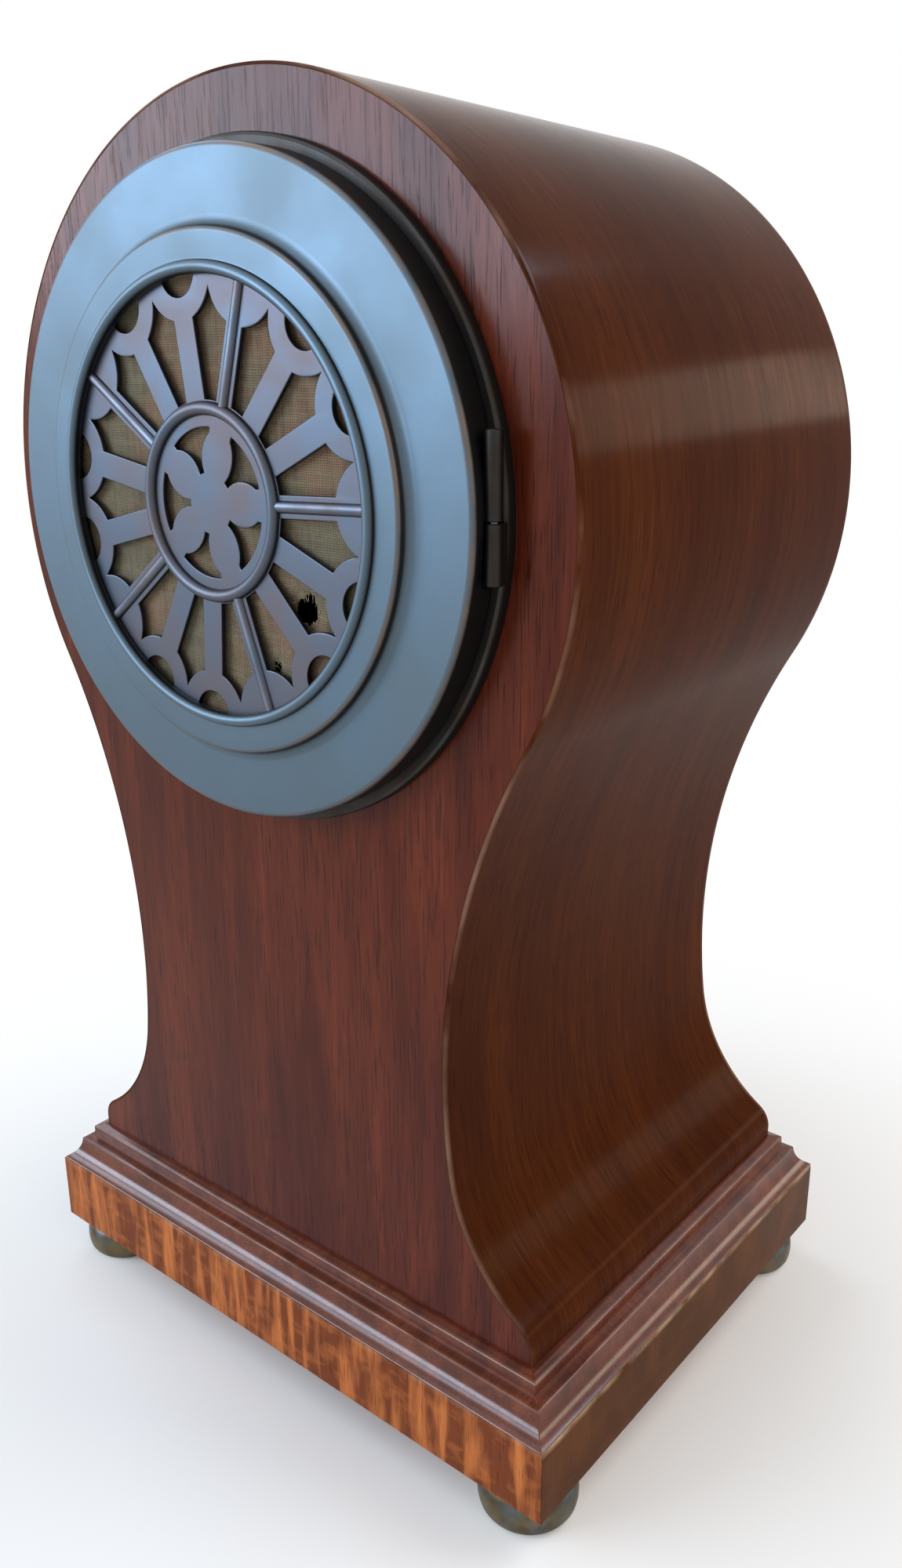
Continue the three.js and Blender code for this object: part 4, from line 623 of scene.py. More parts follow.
def enamel(name, white, shade):
    """Vitreous enamel fired on copper: a milky gloss, warmer in patches and very slightly uneven."""
    material, tree, shader = surface(name, {"Roughness": 0.2, "Coat Weight": 0.4, "Coat Roughness": 0.05})
    place = add(tree, "TexCoord").outputs["Object"]
    colour, (_, ripple) = lay(tree, place, white, (
        (shade, 26, ROUND, 3, 0.35, 0.75, 0.6),
        (shade, 6, ROUND, 1, 0.4, 0.8, 0.2)))
    bump = add(tree, "Bump", {"Strength": 0.1, "Distance": 0.0001, "Height": ripple})
    fill(tree, shader, {"Base Color": colour, "Normal": bump})
    return material


def pine(name, light, dark):
    """Bare pine, sawn and left dry: straw with browner rings, fine fibres and a dull surface."""
    material, tree, shader = surface(name, {"Specular IOR Level": 0.3})
    place = add(tree, "TexCoord").outputs["Object"]
    colour, (_, fibres) = lay(tree, place, light, (
        (dark, 5, (14, 1, 1), 3, 0.4, 0.62, 1.0),
        (dark, 0.7, (20, 1, 1), 2, 0.4, 0.7, 0.4)))
    rough = add(tree, "MapRange", {"Value": fibres, "To Min": 0.7, "To Max": 0.9})
    fill(tree, shader, {"Base Color": colour, "Roughness": rough})
    return material


def clear_glass(name):
    """Blown glass ground to a shallow dome: clear, with a faint bloom from handling."""
    material, tree, shader = surface(name, {
        "Base Color": linear("fbfdfc"), "IOR": 1.5, "Transmission Weight": 1.0})
    place = add(tree, "TexCoord").outputs["Object"]
    bloom = add(tree, "TexNoise", {"Vector": place, "Scale": 1 / (14 * MM), "Detail": 4.0})
    rough = add(tree, "MapRange", {"Value": bloom, "From Min": 0.4, "From Max": 0.75, "To Max": 0.05})
    fill(tree, shader, {"Roughness": rough})
    return material


FINISHES = {}


def finish(name):
    """A finish of the clock by name; all are made on first use."""
    if not FINISHES:
        scene = bpy.context.scene
        case, door, dial = scene.clock_case, scene.clock_door, scene.clock_dial
        panel = tones(case, "panel_light", "panel_dark", "worn")
        side = tones(case, "side_light", "side_dark", "worn")
        moulding = tones(case, "moulding_light", "moulding_dark", "worn")
        ribbon = tones(case, "ribbon_light", "ribbon_dark", "ribbon_shaded_end")
        bronze, fret, rubbed, brown, olive = tones(
            door, "bronze", "fret", "rubbed", "cloth_brown", "cloth_olive")
        white, ink, brass, blued = tones(dial, "enamel", "ink", "brass", "blued")
        FINISHES.update({
            # flat panels are rubbed to a satin, so light spreads on them
            "panel": mahogany("French polished mahogany panel", *panel, "Object", (10, 0.8),
                              (0.14, 0.17, 0.4), (30, 0.5, 0.7, 0.5)),
            # the curved side keeps its full polish, so lamps show in it as bands
            "side": mahogany("French polished mahogany side", *side, "grain", (26, 0.5),
                             (0.015, 0.12, 0.12), (40, 0.44, 0.66, 0.45)),
            # the moulding's figure runs across it, so it is mottled along its length
            "moulding": mahogany("Polished mahogany moulding", *moulding, "grain", (7, 0.65),
                                 (0.4, 0.14, 0.04), (18, 0.3, 0.6, 0.32)),
            # worn arrises of the plinth show pale wood under the polish
            "ribbon": ribbon_mahogany("Polished ribbon mahogany", *ribbon, linear("d8c39d")),
            # browned bronze goes slate where it is smooth and brown where it is rubbed; its slate-blue is
            # partly patina and partly painted reflection of a blue sky
            # painted shade: the upright walls of the bronze, such as the drum's side, are darkened to near
            # black
            "bronze": metal("Browned bronze", bronze, linear("54626b"), rubbed, 0.46, 30, wall_shade=0.9),
            # the ring and the hinge are a nearly black copy of the bronze, painted shade for the dark gap
            # round the door
            "grimed": metal("Grimed bronze", linear("363739"), linear("312d2a"), linear("5d5347"), 0.46, 12),
            # painted shade: the fret's upright walls and the sides of its beads are darkened
            "fret": metal("Pressed bronze", fret, linear("5a565b"), linear("848d9b"), 0.45, 16, wall_shade=0.7),
            # the feet have gone grey-green and brown, and are rubbed brassy on the round
            "tarnish": metal("Tarnished brass", linear("5a6265"), linear("4b402c"), linear("7f6d4c"),
                             0.42, 5),
            # fine turning lines stretch the light on lacquered brass
            "brass": metal("Lacquered brass", brass, linear("a98143"), linear("d9b878"), 0.2, 18, rings=0.4),
            # plates and wheels have a soft even shine
            "plate": metal("Movement brass", linear("b8924e"), linear("9a7a40"), linear("d0b070"), 0.3, 14),
            # arbors, pins and springs show crisp grey lights
            "steel": metal("Polished steel", linear("8e9094"), linear("75777c"), linear("a8aab0"), 0.28, 6),
            # heat leaves the hands dark blue, paler along their edges
            "blued": metal("Blued steel", blued, linear("1b2448"), linear("56608a"), 0.24, 12),
            "linen": linen("Plain weave linen", brown, olive, door.thread),
            # torn ends have lost their dirt and show the pale flax
            "flax": linen("Frayed linen", linear("c9b98e"), linear("b3a67c"), door.thread),
            "enamel": enamel("White enamel", white, linear("e3d9c1")),
            "ink": enamel("Fired black enamel", ink, linear("221f22")),
            "pine": pine("Bare pine", linear("b08d5f"), linear("85603a")),
            "glass": clear_glass("Domed glass"),
        })
    return FINISHES[name]


def outline_steps(case):
    """The right half of the case outline and on over the head, as (point, inward normal)."""
    head_r, head_z = case.head_radius / MM, case.head_height / MM
    waist, waist_z = case.waist_half / MM, case.waist_height / MM
    flare_r, lip_r = case.flare_radius / MM, case.lip_radius / MM
    flare_start = radians(8)
    waist_r = ((head_z - waist_z) ** 2 + waist ** 2 - head_r ** 2) / (2 * (head_r - waist))
    waist_x = waist + waist_r
    turn = atan2(head_z - waist_z, waist_x)
    flare_x = waist_x - (waist_r - flare_r) * cos(flare_start)
    flare_z = waist_z - (waist_r - flare_r) * sin(flare_start)
    lip_z = BASE_Z + LIP_RISE
    lip_x = flare_x - sqrt((flare_r + lip_r) ** 2 - (flare_z - lip_z) ** 2)
    flare_end = atan2(flare_z - lip_z, flare_x - lip_x)
    steps = [((lip_x + lip_r, BASE_Z), (-1, 0))]
    for x, z, r, start, end, inward in (
        (lip_x, lip_z, lip_r, 0, flare_end, -1),
        (flare_x, flare_z, flare_r, pi + flare_end, pi + flare_start, 1),
        (waist_x, waist_z, waist_r, pi + flare_start, pi - turn, 1),
        (0, head_z, head_r, -turn, pi / 2, -1),
    ):
        points = arc(x, z, r, start, end, 0.5 if r == lip_r else 1.5)
        for p in points[len(steps) > 2:]:
            steps.append((p, (inward * (p[0] - x) / r, inward * (p[1] - z) / r)))
    left = [((-p[0], p[1]), (-n[0], n[1])) for p, n in reversed(steps[:-1])]
    return steps + left


def inset(steps, distance):
    """The outline drawn in by a distance."""
    return [(p[0] + distance * n[0], p[1] + distance * n[1]) for p, n in steps]


def wrap_shape(case):
    """The side: a thick wall between the panels, with its veneer carried over their edges."""
    steps = outline_steps(case)
    veneer = case.veneer / MM
    soft = 0.5 * veneer
    shoulder = INNER_Y - HAIRLINE
    half = [(WALL, 0), (WALL, shoulder), (veneer, shoulder), (veneer, HALF_DEPTH),
            (soft, HALF_DEPTH, 0.7), (0.3 * soft, HALF_DEPTH - 0.3 * soft, 1),
            (0, HALF_DEPTH - soft, 0.8), (0, HALF_DEPTH - 1.6), (0, 0)]
    profile = half + [(o, -y, *wear) for o, y, *wear in reversed(half[1:-1])]
    travelled = 0.0
    shape = Shape()
    rows = []
    for i, (p, n) in enumerate(steps):
        if i:
            travelled += hypot(p[0] - steps[i - 1][0][0], p[1] - steps[i - 1][0][1])
        rows.append([
            shape.point((p[0] + o * n[0], y, p[1] + o * n[1]), *wear, grain=(y, o, travelled))
            for o, y, *wear in profile])
    for a, b in zip(rows, rows[1:]):
        shape.bridge(a + a[:1], b + b[:1])
    shape.faces += [rows[0], rows[-1][::-1]]
    return shape


def banded(profile, half_x, half_y, soft=0.3, step=2.5, chips=0.0, quiet=1.0):
    """A profile of (out, height, wear) points carried round a rectangle and mitred at its corners, which
    are softened. chips is how deep worn edges are bitten, quiet the share of wear on the long sides."""
    chip_size, chip_level = 9, 0.2
    shape = Shape()
    rows = []
    for out, z, *wear in profile:
        row = []
        for k, (sx, sy) in enumerate(((1, 1), (-1, 1), (-1, -1), (1, -1))):
            x, y = sx * (half_x + out - soft), sy * (half_y + out - soft)
            end_x, end_y = (-x, y) if k % 2 == 0 else (x, -y)
            turns = [(k + i / 4) * pi / 2 for i in range(5)]
            path = [(x, y, a) for a in turns]
            count = math.ceil(2 * (half_x if k % 2 == 0 else half_y) / step)
            path += [(x + (end_x - x) * i / count, y + (end_y - y) * i / count, turns[-1])
                     for i in range(1, count)]
            for px, py, a in path:
                rubbed = (wear[0] if wear else 0.0) * (1.0 if abs(cos(a)) > 0.7 else quiet)
                rough = noise.noise((px / chip_size, py / chip_size, z / chip_size))
                bite = chips * rubbed * max(0.0, rough - chip_level)
                r = soft - bite
                place = (px + r * cos(a), py + r * sin(a), z - 0.5 * bite)
                row.append(shape.point(place, rubbed, grain=(py * cos(a) - px * sin(a), z, 3 * out)))
        rows.append(row + row[:1])
    for a_row, b_row in zip(rows, rows[1:]):
        shape.bridge(a_row, b_row)
    shape.faces += [rows[0][:-1], rows[-1][-2::-1]]
    return shape


class CLOCK_OT_case(bpy.types.Operator):
    """Make the panels and the curved side of the case"""
    bl_idname = "clock.case"
    bl_label = "Case"

    def execute(self, context):
        case = context.scene.clock_case
        steps = outline_steps(case)
        edge = inset(steps, case.veneer / MM + 0.02)
        for name, hole, y0, y1 in (("back_panel", BACK_HOLE_R, INNER_Y, HALF_DEPTH),
                                   ("front_panel", FRONT_HOLE_R, -HALF_DEPTH, -INNER_Y)):
            board = plate(edge, [circle(0, CENTRE_Z, hole)], y0, y1)
            piece(name + "_board", board, finish("panel"), "case", "mahogany", name)
        piece("case_side", wrap_shape(case), finish("side"), "case", "mahogany", "case_wrap", sharp=25)
        return {"FINISHED"}


def moulding_profile():
    """The moulding from its foot up, as (out from the case, height above the block, wear) points."""
    foot = [(4, 0), (10.7, 0), (10.6, 0.2, 0.4)]
    hollow = []
    out, wide, high, steps = 11, 4.7, 6.9, 16
    sag_in, sag_down = 3.96, 2.7
    for i in range(1, steps):
        t = i / steps
        sag = t * (1 - t)
        hollow.append((out - wide * t - sag_in * sag, high * t - sag_down * sag))
    ledge = [(6.33, 6.75, 0.8), (6.25, 7.0, 1), (6.05, 7.12, 0.5), (5.2, 7.2), (4.0, 7.3)]
    fillet = [(3.55, 7.42), (3.4, 7.7), (3.35, 8.3), (3.3, 10.9), (3.22, 11.25, 1), (3.0, 11.42, 0.6)]
    slope = [(2.2, 11.6), (1.2, 11.88), (0.2, 12.2)]
    return foot + hollow + ledge + fillet + slope


class CLOCK_OT_plinth(bpy.types.Operator):
    """Make the moulding, the plinth block and the feet"""
    bl_idname = "clock.plinth"
    bl_label = "Plinth"

    def execute(self, context):
        case = context.scene.clock_case
        over = case.overhang / MM
        levels = [(out, BLOCK_TOP + up, *wear) for out, up, *wear in moulding_profile()]
        run = banded(levels, BLOCK_HALF_X - over, BLOCK_HALF_Y - over, 0.2, chips=0.15)
        piece("plinth_moulding_run", run, finish("moulding"), "case", "mahogany", "plinth_moulding", sharp=40)
        soft = 0.3
        low, high = BLOCK_FOOT, BLOCK_TOP
        foot = [(-2, low), (-soft, low), (-0.3 * soft, low + 0.3 * soft, 0.6), (0, low + soft), (0, low + 3)]
        arris = [(0, high - 3), (0, high - 1.8), (0, high - 0.9, 0.5), (0, high - soft, 0.9),
                 (-0.3 * soft, high - 0.3 * soft, 1), (-soft, high, 0.7), (-1.2, high)]
        veneered = banded(foot + arris, BLOCK_HALF_X, BLOCK_HALF_Y, soft, chips=1.4, quiet=0.2)
        piece("plinth_block_veneer", veneered, finish("ribbon"), "case", "mahogany", "plinth_block")
        # a foot as shares of its radius and its height
        bun = [(0, 0), (0.79, 0), (0.85, 0.01), (0.92, 0.055, 0.5), (0.97, 0.16, 0.8), (0.995, 0.31, 1),
               (1, 0.46, 1), (0.992, 0.6, 0.6), (0.965, 0.75), (0.91, 0.88), (0.85, 0.95), (0.82, 0.97),
               (0.82, 1), (0, 1)]
        for name in ("foot_front_left", "foot_front_right", "foot_back_left", "foot_back_right"):
            low, high = (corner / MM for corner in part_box(name))
            turned = lathe([(r * (high.x - low.x) / 2, up * high.z, *wear) for r, up, *wear in bun], 96, True)
            foot = Shape().take(turned, ((low.x + high.x) / 2, (low.y + high.y) / 2, 0))
            piece(name + "_bun", foot, finish("tarnish"), "case", "brass", name)
        return {"FINISHED"}


def on_back(profile):
    """Heights above the back face as places along Y."""
    return [(r, HALF_DEPTH + h, *wear) for r, h, *wear in profile]


def rounded(radius_from, radius_to, foot, crest, count=10, wear=0.0):
    """A half-round bead between two radii, as profile points."""
    middle, half = (radius_from + radius_to) / 2, (radius_from - radius_to) / 2
    return [(middle + half * cos(pi * i / count), foot + (crest - foot) * sin(pi * i / count), wear)
            for i in range(count + 1)]


def eased(radius, top, soft, count=6):
    """A quarter round over an outer edge that is rubbed at its middle, as profile points."""
    return [(radius - soft + soft * cos(pi / 2 * i / count), top - soft + soft * sin(pi / 2 * i / count),
             0.8 * sin(pi * i / count)) for i in range(count + 1)]


def eased_ring(bore, radius, low, high, soft=0.2):
    """A flat ring with its four edges taken off, as profile points."""
    return [(bore + soft, low), (radius - soft, low), (radius, low + soft), (radius, high - soft),
            (radius - soft, high), (bore + soft, high), (bore, high - soft), (bore, low + soft),
            (bore + soft, low)]


def polar(radius, a):
    """An (x, z) point at a radius and an angle."""
    return Vector((radius * cos(a), radius * sin(a)))


def fret_loops(door):
    """Outline and openings of the fret: windows between the bars, eyes, and a five-petalled rose."""
    sight = door.sight_radius / MM
    count, turn = door.spokes, door.fret_turn
    pitch = 2 * pi / count
    lobe_c, lobe_r, eye_r, hub = 1.03 * sight, 0.222 * sight, 0.116 * sight, 0.468 * sight
    loops = [circle(0, 0, LEAF_R)]

    def window_side(k, sign):
        a = turn + k * pitch
        half = PLAIN_BAR_HALF if k % BEADED_EVERY else BEADED_BAR_HALF
        across = polar(sign * half, a + pi / 2)
        inner = polar(sqrt(hub ** 2 - half ** 2), a) + across
        start = pi - asin(half / lobe_r)
        tip = pi / 2 + pitch / 2 + acos(lobe_c * sin(pitch / 2) / lobe_r)
        steps = 10
        curve = [polar(lobe_c, a) + polar(lobe_r, a + sign * (start + (tip - start) * i / steps))
                 for i in range(steps + 1)]
        return [inner, *curve]

    for k in range(count):
        a = turn + k * pitch
        left, right = window_side(k, 1), window_side(k + 1, -1)[::-1]
        hub_arc = [polar(hub, a + pitch / 2 - (i - 2) * pitch / 8) for i in range(5)]
        loops.append([*left, *right[1:], *hub_arc[1:-1]])
        if k % BEADED_EVERY:
            # the eyes run on under the bead
            edge_r = sight + 1.2
            reach = acos((edge_r ** 2 - lobe_c ** 2 - eye_r ** 2) / (2 * lobe_c * eye_r))
            steps = 20
            loops.append([polar(lobe_c, a) + polar(eye_r, a + reach + (2 * pi - 2 * reach) * i / steps)
                          for i in range(steps + 1)])
    rose, petals, neck = 0.346 * sight, 5, radians(12.5)
    petal_c, petal_long, petal_half = 0.22 * sight, 0.132 * sight, 0.104 * sight
    wide, steps = 2 * pi / petals, 12

    def petal_edge(angle, sign):
        points = []
        for i in range(steps + 1):
            t = radians(44) + radians(92) * i / steps
            along, across = petal_c + petal_long * cos(t), sign * petal_half * sin(t)
            points.append(polar(along, angle) + polar(across, angle + pi / 2))
        return points

    for k in range(petals):
        a = turn + wide * k
        rim = [polar(rose, a + wide - neck - (wide - 2 * neck) * i / steps) for i in range(steps + 1)]
        loops.append([*petal_edge(a, 1), *petal_edge(a + wide, -1)[::-1], *rim])
    return loops


def bead_bar(radius, start, end, a, foot):
    """A half-round bead that lies along a bar of the fret."""
    shape = Shape()
    along, across = polar(1, a), polar(1, a + pi / 2)
    steps = 12
    rows = []
    for r in (start, end):
        row = []
        for i in range(steps + 1):
            t = pi * i / steps
            p = along * r + across * radius * cos(t)
            row.append(shape.point((p[0], foot + radius * 0.95 * sin(t), p[1]), 0.4 * sin(t) ** 4))
        rows.append(row)
    shape.bridge(*rows)
    shape.faces += [rows[0], rows[1][::-1], [rows[0][0], rows[0][-1], rows[1][-1], rows[1][0]]]
    return shape


# Torn places in the cloth: (x, height from the door's centre, half width, half height), in millimetres
TEARS = ((-27.9, -22.3, 3.6, 3.6), (-17.8, -37.2, 1.1, 1.7))


def cloth_shape(radius, cell=0.55):
    """A stretched disc of cloth with puckers and two ragged tears."""
    shape = Shape()
    places = {}
    count = math.ceil(radius / cell)

    def torn(x, z):
        for tx, tz, wide, tall in TEARS:
            rag = 1 + 0.5 * noise.noise((x / 2.6, z / 2.6, 3.0))
            if hypot((x - tx) / wide, (z - tz) / tall) < rag:
                return True
        return False

    def near_tear(x, z):
        return max(math.exp(-((hypot((x - tx) / wide, (z - tz) / tall) - 1) / 0.6) ** 2)
                   for tx, tz, wide, tall in TEARS)

    def place(i, j):
        if (i, j) not in places:
            x, z = i * cell, j * cell
            reach = hypot(x, z)
            if reach > radius - cell:
                x, z = (c * radius / reach for c in (x, z))
            slack = max(0.0, 1 - (reach / radius) ** 2)
            sag = 0.28 * slack * noise.noise((x / 11, z / 11, 1.0)) - 0.5 * near_tear(x, z)
            y = HALF_DEPTH + CLOTH_FRONT_H - CLOTH_T - 0.32 + sag
            places[i, j] = shape.point((x, y, z))
        return places[i, j]

    for i in range(-count, count):
        for j in range(-count, count):
            x, z = (i + 0.5) * cell, (j + 0.5) * cell
            if hypot(x, z) < radius - 0.9 * cell and not torn(x, z):
                shape.faces.append([place(i, j), place(i + 1, j), place(i + 1, j + 1), place(i, j + 1)])
    return shape


def loose_threads():
    """Thread ends that stand into the tears."""
    shape = Shape()
    for k, (tx, tz, wide, tall) in enumerate(TEARS):
        count = round(2.4 * (wide + tall))
        for i in range(count):
            a = 2 * pi * (i + 0.8 * noise.noise((i * 0.7, k, 0.5))) / count
            root = Vector((tx + 1.25 * wide * cos(a), HALF_DEPTH + CLOTH_FRONT_H - 0.9,
                           tz + 1.25 * tall * sin(a)))
            reach = 1.1 + 1.3 * abs(noise.noise((i * 1.7, k, 2.5)))
            drift = 1.6 * noise.noise((i * 2.3, k, 4.5))
            inward = Vector((-cos(a) + drift * sin(a), 0, -sin(a) - drift * cos(a))).normalized()
            rows = []
            for t in range(5):
                along = root + inward * reach * t / 4 + Vector((0, -0.12 * t, -0.06 * t * t))
                half = 0.13 * (1 - 0.12 * t)
                side = Vector((inward.z, 0, -inward.x)) * half
                deep = Vector((0, half, 0))
                rows.append([shape.point(along + q) for q in (side, deep, -side, -deep)])
            for a_row, b_row in zip(rows, rows[1:]):
                shape.bridge(a_row + a_row[:1], b_row + b_row[:1])
            shape.faces += [rows[0], rows[-1][::-1]]
    return shape


class CLOCK_OT_back_door(bpy.types.Operator):
    """Make the back ring and the pierced door with its cloth"""
    bl_idname = "clock.back_door"
    bl_label = "Back door"

    def execute(self, context):
        door = context.scene.clock_door
        bronze = finish("bronze")
        hinge = (HINGE_X, HALF_DEPTH + HINGE_H, CENTRE_Z)
        spigot = BACK_HOLE_R - GAP
        ring = on_back([
            (SPIGOT_BORE_R, -SPIGOT_DEEP), (spigot, -SPIGOT_DEEP), (spigot, 0), (RING_R, 0),
            (RING_R, RING_T - 1.1), (RING_R - 0.3, RING_T - 0.4, 0.25), (RING_R - 0.9, RING_T, 0.2),
            (RING_BORE_R + 0.6, RING_T), (RING_BORE_R, RING_T - 0.6), (RING_BORE_R, 0), (SPIGOT_BORE_R, 0),
            (SPIGOT_BORE_R, -SPIGOT_DEEP)])
        made = centred(lathe(ring))
        made.take(rod(HINGE_R, HINGE_LOW, HINGE_SPLIT - GAP), hinge)
        made.take(block((-1.6, -2.6, HINGE_LOW), (1.6, 0, HINGE_SPLIT - GAP)), hinge)
        # the ring and its hinge leaf take the bronze darkened as painted shade
        piece("back_ring_turned", made, finish("grimed"), "case", "bronze", "back_ring")

        sight = door.sight_radius / MM
        # a wide hollow foot and a rounded edge lead up to the flat ledge round the bead
        ledge = PROJECTION - BEAD_RISE
        edge = eased(DOOR_R, DOOR_FLAT_H, 1.4)
        foot = [(DOOR_STEP_R + 2.4 - 2.6 * sin(pi / 2 * i / 8), DOOR_FLAT_H + 1.8 - 1.8 * cos(pi / 2 * i / 8))
                for i in range(9)]
        wall = eased(DOOR_STEP_R - 0.3, ledge, 1.1)
        bead = rounded(REBATE_R - HAIRLINE, sight, ledge, PROJECTION, 14)
        frame_profile = on_back([
            (DOOR_R, DOOR_FOOT_H), (DOOR_R, 4.2), *edge, (68, DOOR_FLAT_H + 0.02), *foot, *wall,
            (REBATE_R + 2, ledge), (REBATE_R + 0.25, ledge - HAIRLINE), *bead, (sight, FRET_FRONT_H + GAP),
            (REBATE_R, FRET_FRONT_H + GAP), (REBATE_R, 8), (DOOR_BORE_R, 8), (DOOR_BORE_R, DOOR_FOOT_H),
            (DOOR_R, DOOR_FOOT_H)])
        drum = piece("door_frame_turned", centred(lathe(frame_profile)), bronze, "back_door", "bronze",
                     "door_frame")
        room = HINGE_R + 2 * GAP
        low = HINGE_LOW - 2 * GAP
        bore = lathe([(0, low), (room, low), (room, HINGE_SPLIT), (0, HINGE_SPLIT)], 48, True)
        cut(drum, Shape().take(bore, hinge))
        cut(drum, Shape().take(block((-room, -HINGE_H, low), (room, 0, HINGE_SPLIT)), hinge))
        settle(drum, bronze, "back_door")
        knuckle = Shape().take(rod(HINGE_R, HINGE_SPLIT, HINGE_HIGH), hinge)
        # the knuckle takes the bronze darkened as painted shade
        piece("door_hinge_knuckle", knuckle, finish("grimed"), "back_door", "bronze")

        leaf = pressed(fret_loops(door), FRET_T, 0.25, HALF_DEPTH + FRET_FRONT_H)
        foot = HALF_DEPTH + FRET_FRONT_H - 0.3
        for k in range(0, door.spokes, BEADED_EVERY):
            a = door.fret_turn + 2 * pi * k / door.spokes
            leaf.take(bead_bar(1.45, BOSS_R - 0.9, sight + 0.4, a, foot))
        sunk = FRET_FRONT_H - 0.4
        boss = [(BOSS_R, sunk), *rounded(BOSS_R, BOSS_BORE_R, FRET_FRONT_H, FRET_FRONT_H + 1.7, 12),
                (BOSS_BORE_R, sunk), (BOSS_R, sunk)]
        leaf.take(lathe(on_back(boss), 128))
        piece("door_fret_pierced", centred(leaf), finish("fret"), "back_door", "bronze", "door_fret")

        cloth_r = LEAF_R - 0.2
        cloth = piece("door_cloth_linen", centred(cloth_shape(cloth_r)), finish("linen"), "back_door",
                      "linen", "door_cloth", sharp=180)
        thick = cloth.modifiers.new("thread", "SOLIDIFY")
        thick.thickness = 0.3 * MM
        thick.offset = 0
        threads = piece("door_cloth_threads", centred(loose_threads()), finish("flax"), "back_door", "linen",
                        sharp=180)
        low, high = RETAINER_FRONT_H - RETAINER_T, RETAINER_FRONT_H
        hold = on_back(eased_ring(RETAINER_BORE_R, LEAF_R, low, high))
        piece("cloth_retainer_ring", centred(lathe(hold)), finish("plate"), "back_door", "brass",
              "cloth_retainer")
        return {"FINISHED"}


def on_front(profile):
    """Depths out from the front face as places along Y."""
    return [(r, -HALF_DEPTH - d, *wear) for r, d, *wear in profile]


class CLOCK_OT_front(bpy.types.Operator):
    """Make the bezel ring, the hinged bezel and its glass"""
    bl_idname = "clock.front"
    bl_label = "Bezel and glass"

    def execute(self, context):
        dial = context.scene.clock_dial
        brass = finish("brass")
        glass_r = dial.glass_radius / MM
        hinge = (glass_r + 16.2, -HALF_DEPTH - 4.2, CENTRE_Z)
        spigot, deep = FRONT_HOLE_R - GAP, -BEZEL_SPIGOT_DEEP
        ring = on_front([
            (BEZEL_RING_BORE_R, RING_T), (BEZEL_RING_R - 0.6, RING_T), (BEZEL_RING_R, RING_T - 0.6),
            (BEZEL_RING_R, 0), (spigot, 0), (spigot, deep), (BEZEL_SPIGOT_BORE_R, deep),
            (BEZEL_SPIGOT_BORE_R, 0), (BEZEL_RING_BORE_R, 0), (BEZEL_RING_BORE_R, RING_T)])
        fixed = centred(lathe(ring))
        middle, end = 4.5, 13.5
        for low, high in ((middle + GAP, end), (-end, -middle - GAP)):
            fixed.take(rod(BEZEL_KNUCKLE_R, low, high), hinge)
            fixed.take(block((-6.2, 1.2, low), (0, 3.9, high)), hinge)
        piece("bezel_ring_turned", fixed, brass, "case", "brass", "bezel_ring")
        hollow = [(BEZEL_SIGHT_R + 4.5 * (1 - cos(pi / 2 * i / 8)), 11.5 + 3 * sin(pi / 2 * i / 8))
                  for i in range(9)]
        crown = [(BEZEL_R - 6.5 + 6.5 * sin(pi / 2 * i / 14), 8 + 7.5 * cos(pi / 2 * i / 14), 0.3)
                 for i in range(15)]
        back = RING_T + GAP
        profile = on_front([
            (BEZEL_BORE_R, back), (BEZEL_BORE_R, 10.2), (BEZEL_SIGHT_R, 10.2), *hollow, (63.2, 14.5),
            (63.5, 14.9), (64.2, 15.2), *crown, (BEZEL_R, 4), (BEZEL_R - 0.3, back), (BEZEL_BORE_R, back)])
        leaf = lathe(profile)
        # the lip that a finger lifts
        leaf.take(block((-78, -HALF_DEPTH - 5.5, -5), (-71.8, -HALF_DEPTH - back, 5), 0.6))
        leaf = centred(leaf)
        leaf.take(rod(BEZEL_KNUCKLE_R, -middle, middle), hinge)
        leaf.take(block((-4.4, -1.3, -middle), (0, 0.9, middle)), hinge)
        piece("bezel_turned", leaf, brass, "bezel", "brass", "bezel")
        dome = [(glass_r * i / 24, 9.9 + 3 * (1 - (i / 24) ** 2)) for i in range(25)]
        lens = on_front([*dome, *[(r, d - 2) for r, d in reversed(dome)]])
        piece("glass_dome", centred(lathe(lens, 128)), finish("glass"), "bezel", "glass", "glass")
        low, high = 6.3, 7.6
        hold = on_front([
            (SIGHT_RING_BORE_R + 0.4, high), (SIGHT_RING_R - 0.2, high), (SIGHT_RING_R, high - 0.2),
            (SIGHT_RING_R, low + 0.2), (SIGHT_RING_R - 0.2, low), (SIGHT_RING_BORE_R + 0.4, low),
            (SIGHT_RING_BORE_R, low + 0.3), (SIGHT_RING_BORE_R, high - 0.3), (SIGHT_RING_BORE_R + 0.4, high)])
        piece("sight_ring_turned", centred(lathe(hold)), brass, "bezel", "brass", "sight_ring")
        return {"FINISHED"}


def stroke(shape, x0, z0, x1, z1, wide, y):
    """One flat pen stroke of a numeral."""
    along = Vector((x1 - x0, z1 - z0)).normalized()
    side = Vector((-along.y, along.x)) * wide / 2
    corners = [(x0 + side.x, z0 + side.y), (x1 + side.x, z1 + side.y), (x1 - side.x, z1 - side.y),
               (x0 - side.x, z0 - side.y)]
    shape.take(plate(corners, [], y - INK_T, y + INK_T))


